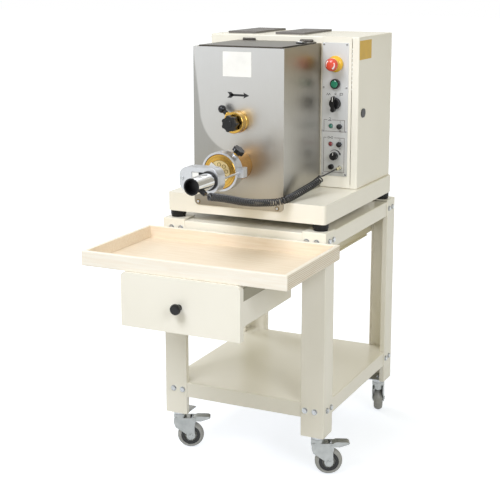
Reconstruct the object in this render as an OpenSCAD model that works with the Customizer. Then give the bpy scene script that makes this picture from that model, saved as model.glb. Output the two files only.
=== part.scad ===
// Electric pasta maker on a wheeled stand.
// A kneading vat and an extruder stand on a folded base pan, with a driven cutter
// in front of the die.  The stand carries a drawer, a tray and a lower shelf.
// Millimetres, +Z up, the front faces -Y, +X is the side with the controls.
// The model is drawn round the middle of the stand and then moved, so that its
// origin is the middle of the whole footprint, on the floor.

/* [Stand] */
// Width of the stand over its legs
stand_w = 512; // [480:1:560]
// Depth of the stand over its legs
stand_d = 588; // [570:1:640]
// Length of a leg
leg_len = 600; // [560:1:680]
// Width of a leg's front face
leg_w = 71; // [66:1:76]
// Depth of a leg's side face
leg_d = 68; // [64:1:80]
// Return lip along each free edge of a leg
leg_lip = 15; // [8:1:18]
// Sheet thickness of the legs
leg_sheet = 2.5; // [2:0.5:4]
// Height of the folded sides of the stand's upper deck
rail_h = 45; // [40:1:55]
// How far the upper deck lies below the tops of the legs
rail_drop = 5; // [4:1:10]
// Sheet thickness of the upper deck and the shelf
rail_sheet = 2; // [1.5:0.5:3]
// Height of the lower shelf above the bottoms of the legs
shelf_rise = 100; // [80:1:160]
// Height of the shelf's turned-down edge
shelf_edge = 45; // [38:1:60]
// Width across the flats of a frame bolt's head
bolt_af = 13; // [10:1:14]
// Height of a frame bolt's head and of its nut
bolt_head_h = 5; // [3:0.5:7]
// Diameter of a frame bolt's shank
bolt_d = 8; // [6:1:8]
// Distance between two frame bolts
bolt_pitch = 30; // [26:1:32]

/* [Casters] */
// Height of the whole caster, from the floor to the leg
caster_h = 121; // [118:1:130]
// Diameter of a wheel
wheel_d = 80; // [74:1:82]
// Width of a tyre
tyre_w = 27; // [22:1:28]
// Radius of a tyre's rounded tread
tread_r = 16; // [15:1:18]
// Distance from the swivel axis to the axle
trail = 32; // [28:1:36]
// Diameter of the axle
axle_d = 8; // [6:1:10]
// Diameter of the kingpin that the fork swivels on
kingpin_d = 10; // [8:1:12]
// Diameter of the ball race
race_d = 39; // [34:1:42]
// Sheet thickness of a fork
fork_sheet = 2.5; // [2:0.5:3]
// Length of a brake pedal from its hinge
pedal_len = 53; // [40:1:60]
// Distance from the middle of the stand to a caster, sideways
caster_x = 226; // [216:1:228]
// Distance from the middle of the stand to a caster, front to back
caster_y = 261; // [255:1:264]
// Direction in which the front casters trail, turned from +X
front_trail_turn = 26; // [0:1:60]
// Direction in which the rear casters trail, turned from +X
rear_trail_turn = 106; // [80:1:110]

/* [Drawer and tray] */
// Width of the drawer's front
drawer_front_w = 350; // [344:1:356]
// Height of the drawer's front
drawer_front_h = 148; // [120:1:160]
// Radius of the upper corners of the drawer's front
drawer_front_r = 14; // [8:1:18]
// Depth of the folded drawer front
drawer_front_t = 20; // [14:1:24]
// Width of the drawer's box
drawer_box_w = 342; // [320:1:344]
// Depth of the drawer's box
drawer_box_d = 312; // [280:1:330]
// Height of the drawer's box
drawer_box_h = 112; // [90:1:120]
// How far the drawer stands open
drawer_open = 371; // [300:1:371]
// Sheet thickness of the drawer
drawer_sheet = 1.5; // [1:0.5:2]
// Thickness of one runner member
runner_t = 3; // [2.5:0.5:3.5]
// Height of a runner
runner_h = 34; // [26:1:40]
// Length of a runner
runner_len = 345; // [320:1:350]
// Diameter of the drawer's knob
knob_d = 29; // [20:1:36]
// Length of the drawer's knob
knob_len = 28; // [20:1:34]
// Width of the tray
tray_w = 602; // [560:1:610]
// Depth of the tray
tray_d = 359; // [340:1:362]
// Height of the tray's rim
tray_h = 41; // [30:1:50]
// Thickness of the tray's rim
tray_wall = 12; // [8:1:16]
// Thickness of the tray's floor
tray_floor = 6; // [4:1:10]

/* [Base and cabinet] */
// Width of the base pan
pan_w = 495; // [490:1:505]
// Depth of the base pan
pan_d = 556; // [550:1:566]
// Height of the base pan
pan_h = 54; // [45:1:60]
// Corner radius of the base pan
pan_r = 10; // [4:1:16]
// Sheet thickness of the base pan
pan_sheet = 2; // [1.5:0.5:3]
// Diameter of a rubber foot
foot_d = 45; // [36:1:48]
// Height of a rubber foot
foot_h = 20; // [15:1:30]
// Width of the cabinet
cab_w = 480; // [476:1:488]
// Depth of the cabinet
cab_d = 291; // [285:1:300]
// Height of the cabinet
cab_h = 445; // [440:1:480]
// Sheet thickness of the cabinet
cab_sheet = 1.5; // [1:0.5:2]
// Width of a vent on top of the cabinet
vent_w = 95; // [70:1:105]
// Depth of a vent on top of the cabinet
vent_d = 225; // [150:1:240]
// Height that a vent stands above the cabinet
vent_h = 6; // [4:1:10]
// Width of the cover on the back
back_w = 440; // [400:1:460]
// Height of the cover on the back
back_h = 405; // [380:1:415]

/* [Vat] */
// Width of the steel jacket round the vat
jacket_w = 280; // [276:1:284]
// Height of the jacket's top above the base pan
jacket_h = 425; // [420:1:430]
// Sheet thickness of the jacket
jacket_sheet = 1.5; // [1:0.5:2]
// Thickness of the steel front plate
plate_t = 3; // [2:0.5:4]
// How far the front plate hangs over the base pan
plate_hang = 28; // [20:1:34]
// Radius of the front plate's lower corners
plate_r = 12; // [6:1:18]
// Inner radius of the kneading trough
trough_r = 106; // [100:1:110]
// Inner half width of the trough at its top
trough_top = 123; // [116:1:124]
// Inner radius of the channel that the auger turns in
channel_r = 33; // [31.5:0.5:34]
// Sheet thickness of the trough
trough_sheet = 2; // [1.5:0.5:3]
// Height of the lid's rim
lid_h = 4; // [3:0.5:6]
// Diameter of the lid's hinge pin
hinge_pin_d = 5; // [4:0.5:6]

/* [Mixer and drive] */
// Height of the mixer's axis above the base pan
mixer_rise = 220; // [220:1:222]
// Height of the auger's axis above the base pan
auger_rise = 96; // [94:1:96]
// Diameter of the mixer's shaft
mixer_d = 20; // [16:1:24]
// Reach of the mixer's paddles
paddle_reach = 86; // [70:1:88]
// Diameter of a paddle's arm
paddle_arm_d = 12; // [8:1:14]
// Number of teeth on the mixer's gear
mixer_teeth = 36; // [36:1:36]
// Number of teeth on the auger's gear
auger_teeth = 26; // [26:1:26]
// Face width of the gears
gear_w = 16; // [10:1:18]
// Diameter of the drive motor
drive_d = 124; // [110:1:130]
// Diameter of the brass bush in front of the mixer
bush_d = 62; // [56:1:66]
// Length of the brass bush in front of the plate
bush_len = 38; // [34:1:44]
// Diameter of the star knob
star_d = 47; // [40:1:54]
// Diameter of the ball on the locking pin
ball_d = 23; // [18:1:26]

/* [Extruder and cutter] */
// Diameter of the bronze barrel
barrel_d = 82; // [78:1:86]
// Bore of the barrel
barrel_bore_d = 61; // [61:1:62]
// Distance from the front plate to the die ring's face
barrel_out = 121; // [110:1:140]
// Diameter of the auger's flight
auger_d = 59; // [56:1:60]
// Diameter of the auger's shaft
auger_shaft_d = 24; // [20:1:28]
// Pitch of the auger's flight
auger_pitch = 36; // [30:1:44]
// Diameter of the brass ring nut
ring_nut_d = 97; // [92:1:98]
// Length of the brass ring nut
ring_nut_len = 20; // [18:1:24]
// Diameter of the die that shows in the ring nut
die_face_d = 62; // [56:1:66]
// Thickness of the die
die_t = 12; // [10:1:14]
// Number of inserts in the die
insert_count = 8; // [6:1:10]
// Diameter of a die insert
insert_d = 9; // [6:0.5:10]
// Diameter of the aluminium clamp ring
clamp_d = 109; // [108:1:116]
// Diameter of the clamp ring's star knob
clamp_knob_d = 34; // [28:1:38]
// Length of the cutter's arm
arm_w = 114; // [112:1:124]
// Height of the cutter's arm
arm_h = 66; // [60:1:72]
// Thickness of the cutter's arm
arm_t = 40; // [30:1:44]
// Gap between the die ring and the cutter's arm
arm_gap = 96; // [80:1:110]
// Radius of the arm's corners
arm_r = 24; // [16:1:29]
// Distance from the die's axis to the rod that carries the arm
rod_offset = 56; // [56:1:58]
// Diameter of the rod
rod_d = 6; // [5:1:10]
// Distance from the die's axis to the cutter motor's axis
motor_offset = 38; // [36:1:40]
// Diameter of the cutter's motor
motor_d = 45; // [40:1:46]
// Length of the cutter's motor with its cap
motor_len = 96; // [90:1:100]
// Diameter of the knife's shaft
knife_shaft_d = 10; // [8:1:12]
// Reach of the knife
knife_reach = 34; // [28:1:40]

/* [Controls] */
// Width of the strip that carries the controls
fascia_w = 91; // [91:1:93]
// Width of the grey control plate
ctrl_plate_w = 81; // [78:1:84]
// Height of the grey control plate
ctrl_plate_h = 391; // [380:1:400]
// Sheet thickness of the strip and the plate
ctrl_sheet = 2; // [1.5:0.5:2.5]
// Diameter of the stop button's yellow collar
stop_collar_d = 47; // [44:1:52]
// Diameter of the stop button
stop_d = 38; // [34:1:42]
// Travel of the stop button
stop_travel = 4; // [2:0.5:5]
// Diameter of the start button's bezel
start_bezel_d = 29; // [27:1:32]
// Travel of the start button
start_travel = 3; // [2:0.5:4]
// Diameter of the selector's base
selector_d = 34; // [30:1:38]
// Diameter of a pilot lamp
lamp_d = 13; // [10:1:14]
// Diameter of the speed knob
speed_d = 24; // [22:1:28]
// Diameter of the fuse cap
fuse_d = 17; // [14:1:18]

/* [Cord] */
// Outer diameter of the curly cord's coil
curl_d = 22; // [18:1:24]
// Diameter of the cord itself
cord_d = 6; // [5:0.5:7]

/* [Hidden] */

$fn = 48;
run = 0.05;     // radial clearance of a pin or shaft in its bore
seat = 0.3;     // gap between faces of two pieces that move on each other
eps = 0.5;      // overlap that makes a cut or a joint of solids clean

cream = "#F1EBD6";
steel = "#B9BABA";
dark_steel = "#8C8F90";
brass = "#C9A24E";
bronze = "#B87A36";
black = "#232323";
alloy = "#C7C9CB";

// --- Stand: derived sizes
hw = stand_w / 2;
hd = stand_d / 2;
leg_z = caster_h;
stand_top = leg_z + leg_len;
rail_top = stand_top - rail_drop;
rail_mid = rail_top - rail_h / 2;
shelf_top = leg_z + shelf_rise;
shelf_mid = shelf_top - shelf_edge / 2;
in_x = hw - leg_sheet;             // inner faces of the legs
in_y = hd - leg_sheet;
web_x = in_x - rail_sheet;         // inner faces of the rails
web_y = in_y - rail_sheet;
front_bolt_x = hw - leg_w * 0.6;
side_bolt_y = hd - leg_d * 0.6;
bolt_free = 0.2;                   // clearance of a bolt in its hole
cap_t = 3;                         // plate that closes a leg
lip_room = 0.5;                    // clearance of a leg's lip in the shelf
inner_w = leg_w - 2 * leg_sheet;   // inside of a leg
inner_d = leg_d - 2 * leg_sheet;

// --- Casters: derived sizes
wheel_r = wheel_d / 2;
tread_ring = wheel_r - tread_r;    // radius of the ring that the tread is drawn round
tyre_in = wheel_r - 11;
fork_in = tyre_w / 2 + 2.5;        // inner faces of the fork's cheeks
fork_out = fork_in + fork_sheet;
crown_low = wheel_d + 5;
crown_top = crown_low + 12;
race_mid = caster_h - 12;
pedal_x = trail + 7;
pedal_z = crown_low + 5.5;
pedal_pin_r = 3;
cheek_r = 13;                      // lower end of the fork's cheeks
guard_in = tyre_in - 10;           // inner edge of the thread guards
casters = [
  [-caster_x, -caster_y, front_trail_turn],
  [caster_x, -caster_y, front_trail_turn],
  [-caster_x, caster_y, rear_trail_turn],
  [caster_x, caster_y, rear_trail_turn]
];

// --- Drawer and tray: derived sizes
drawer_top = stand_top - 66;
drawer_y = -hd - drawer_open;                    // front face of the drawer
box_front = drawer_y + drawer_front_t;
box_rear = box_front + drawer_box_d;
box_low = drawer_top - 3 - drawer_box_h;
runner_high = drawer_top - 11;
runner_low = runner_high - runner_h;
run_gap = 0.4;
rx0 = drawer_box_w / 2;
rx1 = rx0 + runner_t + run_gap;
rx2 = rx1 + runner_t + run_gap;
rx3 = rx2 + runner_t;
carrier_t = 2.5;
runner_y = -hd + drawer_front_t + 2;             // front ends of the fixed members
tray_low = drawer_top + 0.1;
tray_rear = -hd - bolt_head_h - 1;
tray_front = tray_rear - tray_d;

// --- Base, cabinet and vat: derived sizes
pan_low = stand_top + foot_h;
pan_top = pan_low + pan_h;
pan_front = -pan_d / 2 - 2;
pan_rear = pan_front + pan_d;
foot_x = pan_w / 2 - foot_d / 2;
foot_y0 = pan_front + foot_d / 2 + 1;
foot_y1 = pan_rear - foot_d / 2 - 1;
cab_rear = pan_rear;
cab_front = cab_rear - cab_d;
cab_top = pan_top + cab_h;
work_x = -14;                       // axis of the mixer, the auger and the die
jacket_x0 = work_x - jacket_w / 2 - 3;
jacket_x1 = jacket_x0 + jacket_w;
jacket_top = pan_top + jacket_h;
plate_back = pan_front;
plate_front = plate_back - plate_t;
mixer_z = pan_top + mixer_rise;
auger_z = pan_top + auger_rise;
axes_apart = mixer_z - auger_z;
trough_front = plate_back;
trough_rear = cab_front;
rim_top = jacket_top - jacket_sheet;
lid_y0 = plate_front + 4;
lid_y1 = cab_front - 15;
lid_w = 2 * trough_top + 8;
lid_low = jacket_top + seat;
hinge_y = cab_front - 7.5;
hinge_z = jacket_top + 5.5;
knuckle_r = hinge_pin_d / 2 + 2.5;
knuckle_w = 30;
lug_t = 4;
knuckle_xs = [work_x - lid_w / 2 + 34, work_x + lid_w / 2 - 34];

// --- Drive: derived sizes
gear_module = 2 * axes_apart / (mixer_teeth + auger_teeth);
gear_y0 = cab_front + cab_sheet + 3;
gear_y1 = gear_y0 + gear_w;
box_y0 = gear_y1 + 4;               // gearbox
box_y1 = box_y0 + 82;
shaft_end = box_y0 + 45;
mixer_front = plate_front - bush_len + 18;
bush_face = plate_front - bush_len;
pin_turn = 140;                     // where the locking pin stands round the bush
pin_y = plate_front - bush_len * 0.58;
pin_r = 4;
ferrule_out = bush_d / 2 + 4;
ball_out = bush_d / 2 + 23;

// --- Extruder and cutter: derived sizes
ring_face = plate_front - barrel_out;
lip_t = 2;
die_front = ring_face + lip_t;
die_back = die_front + die_t;
nut_back = ring_face + ring_nut_len;
clamp_back = nut_back + 13;
ear_out = rod_offset + 13;
ear_y0 = ring_face + 7;
ear_y1 = ear_y0 + 23;
ear_h = 27;
clamp_turn = 52;                    // where the clamp's knob stands round the ring
clamp_boss_out = clamp_d / 2 + 4.5;
clamp_knob_out = clamp_boss_out + 7;
stud_r = 4;
arm_y1 = ring_face - arm_gap;
arm_y0 = arm_y1 - arm_t;
arm_x0 = work_x + rod_offset + 9 - arm_w;
arm_mid = arm_x0 + arm_w / 2;
slot_h = 34;
slot_deep = 6;
motor_x = work_x + motor_offset;
motor_y0 = arm_y0 - motor_len;
motor_cap = 5;
motor_mouth = 22;                   // depth of the hollow in the cap
motor_liner = motor_d / 2 - 2.5;
motor_flange = 5;
motor_flange_r = motor_d / 2 + 3.5;
gland_turn = -37;
gland_y = motor_y0 + 24;
gland_out = motor_d / 2 + 12;
gland_r = 7;

// --- Controls: derived sizes
fascia_x0 = jacket_x1 + 4;
ctrl_x = fascia_x0 + fascia_w / 2 - 2;
fascia_y = cab_front - ctrl_sheet;
ctrl_y = fascia_y - ctrl_sheet;     // face of the control plate
ctrl_plate_x0 = fascia_x0 + 1.5;
ctrl_low = cab_top - 17 - ctrl_plate_h;
stop_z = cab_top - 78;
start_z = stop_z - 58;
selector_z = start_z - 57;
lamp_upper_z = selector_z - 67;
lamp_lower_z = lamp_upper_z - 53;
speed_z = lamp_lower_z - 35;
fuse_z = speed_z - 33;
jack_z = fuse_z - 1.5;
lamp_x = ctrl_x - 13;
toggle_x = ctrl_x + 16;
fuse_x = ctrl_x - 10;
jack_x = ctrl_x + 17;
shank_r = 11;                       // standard 22 mm panel hole
small_r = 5.5;                      // panel hole of lamps, toggles, knob and jack
behind = 16;                        // how far a shank reaches behind the plate
stop_neck_r = 6;
stop_cup = 24;                      // how far the yellow collar stands out
start_rim = 12;
plug_len = 28;
plug_r = 5;
plug_pin_r = 3.15;
plug_pin_len = 12;

// Route of the curly cord from the cutter's gland, and of the straight lead to the
// plug, as drawn for the sizes above.  Both are moved to meet the gland and the jack.
curl_drawn = [
  [54, -612, 868], [59, -608, 864.5], [62.5, -598, 862], [64, -580, 858], [67, -550, 851], [72, -505, 839],
  [78, -450, 824], [88, -395, 812], [101, -350, 805], [116, -318, 802], [134, -296, 806],
  [141, -255, 810], [147, -220, 816], [154, -190, 822], [162, -155, 830], [168, -132, 838],
  [173, -112, 847]
];
lead_drawn = [[173.1, -111.6, 847.2], [177, -98, 853], [183, -80, 857], [188, -66, 857.2],
              [188, -47, 857.5]];
cord_start = [motor_x + (gland_out + 3) * cos(gland_turn), gland_y,
              auger_z + (gland_out + 3) * sin(gland_turn)];
cord_end = [jack_x, ctrl_y - 2 - plug_len - 0.05, jack_z];
start_shift = cord_start - curl_drawn[0];
end_shift = cord_end - lead_drawn[len(lead_drawn) - 1];
function fitted(p, t) = p + (1 - t) * start_shift + t * end_shift;
curl_route = [for (i = [0 : len(curl_drawn) - 1])
              fitted(curl_drawn[i], 0.9 * i / (len(curl_drawn) - 1))];
lead_route = [for (i = [0 : len(lead_drawn) - 1])
              fitted(lead_drawn[i], 0.9 + 0.1 * i / (len(lead_drawn) - 1))];

// --- Whole model: the footprint's middle becomes the origin
pedal_half_w = fork_in - 1;
pedal_reach = pedal_x + pedal_len;
x_right = caster_x + pedal_reach * cos(front_trail_turn) + pedal_half_w * sin(front_trail_turn);
y_rear = caster_y + (trail + tread_ring) * sin(rear_trail_turn) + tread_r;
x_shift = -(x_right - tray_w / 2) / 2;
y_shift = -(y_rear + drawer_y - knob_len) / 2;

module at_origin() translate([x_shift, y_shift, 0]) children();

// --- Drawing helpers
module box(low, high) translate(low) cube(high - low);

module slab_y(y0, y1)
  translate([0, y1, 0]) rotate([90, 0, 0]) linear_extrude(y1 - y0) children();

module slab_x(x0, x1)
  translate([x0, 0, 0]) rotate([90, 0, 90]) linear_extrude(x1 - x0) children();

module rod_y(r, y0, y1) translate([0, y1, 0]) rotate([90, 0, 0]) cylinder(r = r, h = y1 - y0);

module rod_x(r, x0, x1) translate([x0, 0, 0]) rotate([0, 90, 0]) cylinder(r = r, h = x1 - x0);

// A profile of [radius, distance along -Y] points turned round the Y axis
module turned_y() rotate([90, 0, 0]) rotate_extrude() children();

module both_sides() { children(); mirror([1, 0, 0]) children(); }

module four_corners()
  for (mx = [0, 1], my = [0, 1]) mirror([mx, 0, 0]) mirror([0, my, 0]) children();

module round_rect(w, h, r) {
  square([w - 2 * r, h], center = true);
  square([w, h - 2 * r], center = true);
  for (sx = [-1, 1], sz = [-1, 1])
    translate([sx * (w / 2 - r), sz * (h / 2 - r)]) circle(r);
}

module stadium(w, h) {
  square([w - h, h], center = true);
  for (sx = [-1, 1]) translate([sx * (w - h) / 2, 0]) circle(h / 2);
}

// Lobed outline of a star knob
module star(r, lobes) {
  circle(r * 0.86);
  for (i = [0 : lobes - 1])
    rotate(i * 360 / lobes) translate([r * 0.74, 0]) circle(r * 0.26);
}

// --- Stand
module leg_section() {
  translate([hw - leg_w, -hd]) square([leg_w, leg_sheet]);
  translate([hw - leg_sheet, -hd]) square([leg_sheet, leg_d]);
  translate([hw - leg_w, -hd]) square([leg_sheet, leg_lip]);
  translate([hw - leg_lip, -hd + leg_d - leg_sheet]) square([leg_lip, leg_sheet]);
}

// Bolts through one corner of the stand, as rods of radius r
module corner_bolts(r, out, inward)
  for (z = [shelf_mid, rail_mid]) {
    for (s = [-1, 1]) {
      translate([front_bolt_x + s * bolt_pitch / 2, 0, z])
        rod_y(r, -hd - out, -hd + leg_sheet + inward);
      translate([0, -side_bolt_y + s * bolt_pitch / 2, z])
        rod_x(r, hw - leg_sheet - inward, hw + out);
    }
  }

module bolt_holes() four_corners() corner_bolts(bolt_d / 2 + bolt_free, 2, rail_sheet + 2);

module stand_legs()
  color(cream) difference() {
    four_corners() {
      translate([0, 0, leg_z]) linear_extrude(leg_len) leg_section();
      box([hw - leg_w + leg_sheet - eps, -in_y - eps, stand_top - cap_t],
          [in_x + eps, -hd + leg_d - leg_sheet + eps, stand_top]);
    }
    box([-in_x, -in_y, rail_top - rail_h - 1], [in_x, in_y, stand_top - cap_t]);
    bolt_holes();
  }

// Sheet deck with its four sides folded down
module deck(top, side)
  difference() {
    box([-in_x, -in_y, top - side], [in_x, in_y, top]);
    box([-web_x, -web_y, top - side - 1], [web_x, web_y, top - rail_sheet]);
    bolt_holes();
  }

module top_rails() color(cream) deck(rail_top, rail_h);

// The lower deck has slots at its corners for the return lips of the legs
module lower_shelf()
  color(cream) difference() {
    deck(shelf_top, shelf_edge);
    four_corners() {
      box([hw - leg_w - lip_room, -in_y - 1, shelf_top - shelf_edge - 1],
          [hw - leg_w + leg_sheet + lip_room, -hd + leg_lip + lip_room, shelf_top + 1]);
      box([hw - leg_lip - lip_room, -hd + leg_d - leg_sheet - lip_room, shelf_top - shelf_edge - 1],
          [in_x + 1, -hd + leg_d + lip_room, shelf_top + 1]);
    }
  }

// One hexagon bolt with its nut, head outward along -Y
module frame_bolt(grip) {
  rotate([90, 0, 0]) cylinder(d = bolt_af / cos(30), h = bolt_head_h, $fn = 6);
  rod_y(bolt_d / 2, -eps, grip + eps);
  translate([0, grip + bolt_head_h, 0]) rotate([90, 0, 0])
    cylinder(d = bolt_af / cos(30), h = bolt_head_h, $fn = 6);
}

// Small round-headed screw, its head outward along -Y
module panel_screw(r, head, deep) {
  rotate([90, 0, 0]) cylinder(r = r, h = head);
  rod_y(r * 0.5, -eps, deep);
}

module frame_fasteners() {
  grip = leg_sheet + rail_sheet;
  color(steel) {
    four_corners() for (z = [shelf_mid, rail_mid], s = [-1, 1]) {
      translate([front_bolt_x + s * bolt_pitch / 2, -hd, z]) frame_bolt(grip);
      translate([hw, -side_bolt_y + s * bolt_pitch / 2, z]) rotate(90) frame_bolt(grip);
    }
    for (p = ctrl_screws) translate([p[0], ctrl_y, p[1]]) panel_screw(3, 1.5, 2 * ctrl_sheet);
    for (x = plate_screw_xs)
      translate([x, plate_front, plate_screw_z]) panel_screw(4.5, 2, plate_t + pan_sheet);
  }
}

ctrl_screws = [for (x = [5, ctrl_plate_w - 5], z = [5, 133, 261, ctrl_plate_h - 5])
               [ctrl_plate_x0 + x, ctrl_low + z]];
plate_screw_xs = [jacket_x0 + 12, jacket_x1 - 19];
plate_screw_z = pan_top - plate_hang + 9;

// --- Casters
module at_caster(i)
  translate([casters[i][0], casters[i][1], 0]) rotate(casters[i][2]) children();

module caster_plates()
  color(steel) for (i = [0 : 3]) at_caster(i) {
    rotate(-casters[i][2]) translate([sign(casters[i][0]) * (in_x - inner_w / 2 - caster_x),
                                      sign(casters[i][1]) * (in_y - inner_d / 2 - caster_y), leg_z])
      linear_extrude(3) square([inner_w, inner_d], center = true);
    translate([0, 0, race_mid]) cylinder(d = race_d - 2, h = leg_z - race_mid);
    translate([0, 0, crown_low - 1]) cylinder(d = kingpin_d, h = leg_z + 7 - crown_low + 1);
    translate([0, 0, crown_low - seat - 5]) cylinder(d = kingpin_d + 7, h = 5);
    translate([0, 0, crown_low - seat - eps]) cylinder(d = kingpin_d, h = 2);
  }

module fork_cheek()
  difference() {
    union() {
      polygon([
        [-race_d / 2 + 1, crown_top], [-race_d / 2 + 1, crown_low - 4],
        [-race_d / 2 + 6, crown_low - 18], [trail - cheek_r + 1, wheel_r + 4],
        [trail + cheek_r, wheel_r], [trail + cheek_r - 1, crown_low - 23],
        [pedal_x + 5, crown_low - 13], [pedal_x + 8, crown_low - 4], [pedal_x + 6, crown_top]
      ]);
      translate([trail, wheel_r]) circle(cheek_r);
    }
    translate([trail, wheel_r]) circle(axle_d / 2 + run);
    translate([pedal_x, pedal_z]) circle(pedal_pin_r + run);
  }

module fork(i)
  color(dark_steel) at_caster(i) {
    difference() {
      union() {
        translate([0, 0, crown_top - eps])
          cylinder(d = race_d, h = race_mid - seat - crown_top + eps);
        translate([0, 0, crown_low]) cylinder(r = fork_out, h = crown_top - crown_low);
        box([0, -fork_out, crown_low], [pedal_x - 8, fork_out, crown_top]);
        slab_y(fork_in, fork_out) fork_cheek();
        slab_y(-fork_out, -fork_in) fork_cheek();
      }
      cylinder(d = kingpin_d + 2 * run, h = caster_h);
    }
    translate([trail, 0, wheel_r]) {
      rod_y(axle_d / 2, -fork_out - eps, fork_out + eps);
      for (s = [0, 1]) mirror([0, s, 0]) rod_y(axle_d / 2 + 2, fork_out, fork_out + 2.5);
    }
    if (i < 2) translate([pedal_x, 0, pedal_z]) rod_y(pedal_pin_r, -fork_out - 1, fork_out + 1);
  }

module wheel(i)
  at_caster(i) translate([trail, 0, wheel_r]) {
    color("#8E908E") turned_y() intersection() {
      translate([tread_ring, 0]) circle(tread_r);
      translate([tyre_in, -tyre_w / 2]) square([wheel_r, tyre_w]);
    }
    color("#9A9C9A") turned_y() {
      translate([axle_d / 2 + run, -fork_in + seat]) square([6, 2 * (fork_in - seat)]);
      translate([axle_d / 2 + 5, -3]) square([tyre_in - axle_d / 2 - 6, 6]);
      translate([tyre_in - 5, -tyre_w / 2 + 3]) square([5 - run, tyre_w - 6]);
    }
    color(black) for (s = [0, 1]) mirror([0, s, 0])
      translate([0, -tyre_w / 2 + 3 - run, 0]) turned_y() translate([guard_in, 0]) square([9.5, 1.6]);
  }

module pedal(i)
  color(dark_steel) at_caster(i)
    slab_y(-pedal_half_w, pedal_half_w) difference() {
      translate([pedal_x, pedal_z]) {
        circle(5.2);
        polygon([[0, 5], [14, 10], [pedal_len - 6, 9], [pedal_len, 5], [pedal_len - 3, 2], [24, -6],
                 [0, -5]]);
      }
      translate([pedal_x, pedal_z]) circle(pedal_pin_r + run);
    }

// --- Drawer, runners and tray
module drawer_carriers() {
  color(cream) both_sides() {
    union() {
      box([rx3, -web_y, drawer_top + 3], [rx3 + carrier_t, web_y, rail_top - rail_h + 22]);
      box([rx3, runner_y, runner_low - 6], [rx3 + carrier_t, web_y, drawer_top + 3 + eps]);
      box([rx3, runner_y, runner_low - 6], [rx3 + 12, web_y - leg_d, runner_low - 6 + carrier_t]);
    }
  }
  color(steel) both_sides() runner_member(rx2, runner_y);
}

// A runner member is a channel that starts at x0 and at y0
module runner_member(x0, y0)
  difference() {
    box([x0, y0, runner_low], [x0 + runner_t, y0 + runner_len, runner_high]);
    box([x0 - 1, y0 - 1, runner_low + 8], [x0 + runner_t - 1.5, y0 + runner_len + 1, runner_high - 8]);
  }

module runner_middles() color(steel) both_sides() runner_member(rx1, runner_y - drawer_open / 2);

module runner_inners() color(steel) both_sides() runner_member(rx0, runner_y - drawer_open);

module drawer_box()
  color(cream) difference() {
    box([-rx0, box_front, box_low], [rx0, box_rear, box_low + drawer_box_h]);
    box([-rx0 + drawer_sheet, box_front + drawer_sheet, box_low + drawer_sheet],
        [rx0 - drawer_sheet, box_rear - drawer_sheet, drawer_top + 1]);
    translate([0, 0, knob_z]) rod_y(3.2, box_front - 1, box_front + 5);
  }

knob_z = drawer_top - drawer_front_h / 2 - 3;

// Plate with two rounded upper corners, centred
module drawer_outline(w, h, r) {
  translate([-w / 2, -h / 2]) square([w, h - r]);
  translate([-w / 2 + r, -h / 2]) square([w - 2 * r, h]);
  for (s = [-1, 1]) translate([s * (w / 2 - r), h / 2 - r]) circle(r);
}

module drawer_front()
  color(cream) translate([0, 0, drawer_top - drawer_front_h / 2]) difference() {
    slab_y(drawer_y, box_front) drawer_outline(drawer_front_w, drawer_front_h, drawer_front_r);
    slab_y(drawer_y + drawer_sheet, box_front + 1)
      square([drawer_front_w - 12, drawer_front_h - 12], center = true);
    translate([0, 0, knob_z - drawer_top + drawer_front_h / 2]) rod_y(3.2, drawer_y - 1, box_front + 1);
  }

module drawer_knob()
  color(black) translate([0, drawer_y, knob_z]) {
    turned_y() polygon([[0, 0], [9, 0], [7, 7], [7, 11], [knob_d / 2 - 1, 15], [knob_d / 2, 18],
                        [knob_d / 2, knob_len - 5], [knob_d / 2 - 2.5, knob_len - 1],
                        [knob_d / 2 - 6, knob_len], [0, knob_len]]);
    rod_y(3, -eps, drawer_front_t + drawer_sheet + 4);
    rod_y(6, drawer_front_t + drawer_sheet, drawer_front_t + drawer_sheet + 4);
  }

module tray() {
  mid = (tray_front + tray_rear) / 2;
  color("#EFE6CF") translate([0, mid, tray_low]) difference() {
    linear_extrude(tray_h) round_rect(tray_w, tray_d, 4);
    translate([0, 0, tray_floor]) linear_extrude(tray_h)
      square([tray_w - 2 * tray_wall, tray_d - 2 * tray_wall], center = true);
  }
}

// --- Base pan and feet
module base_pan()
  color(cream) translate([0, (pan_front + pan_rear) / 2, pan_low]) difference() {
    linear_extrude(pan_h) round_rect(pan_w, pan_d, pan_r);
    translate([0, 0, pan_sheet]) linear_extrude(pan_h - 2 * pan_sheet)
      round_rect(pan_w - 2 * pan_sheet, pan_d - 2 * pan_sheet, pan_r - pan_sheet);
    translate([0, 0, -1]) linear_extrude(pan_sheet + 2)
      square([pan_w - 2 * foot_d - 8, pan_d - 2 * foot_d - 8], center = true);
    for (x = plate_screw_xs) translate([x, 0, plate_screw_z - pan_low])
      rod_y(2.5, -pan_d / 2 - 1, -pan_d / 2 + pan_sheet + 1);
  }

module rubber_feet()
  color(black) for (x = [-foot_x, foot_x], y = [foot_y0, foot_y1])
    translate([x, y, stand_top]) rotate_extrude()
      polygon([[0, 0], [foot_d / 2 - 2, 0], [foot_d / 2 - 2, 5], [foot_d / 2, 7], [foot_d / 2, foot_h],
               [0, foot_h]]);

// --- Cabinet
vent_xs = [work_x - 143, work_x + 15];
vent_y = cab_rear - 20 - vent_d / 2;
slot_row_x = ctrl_x - 63;
fascia_joint = 1.5;                // gap at the right edge of the strip with the controls

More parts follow.
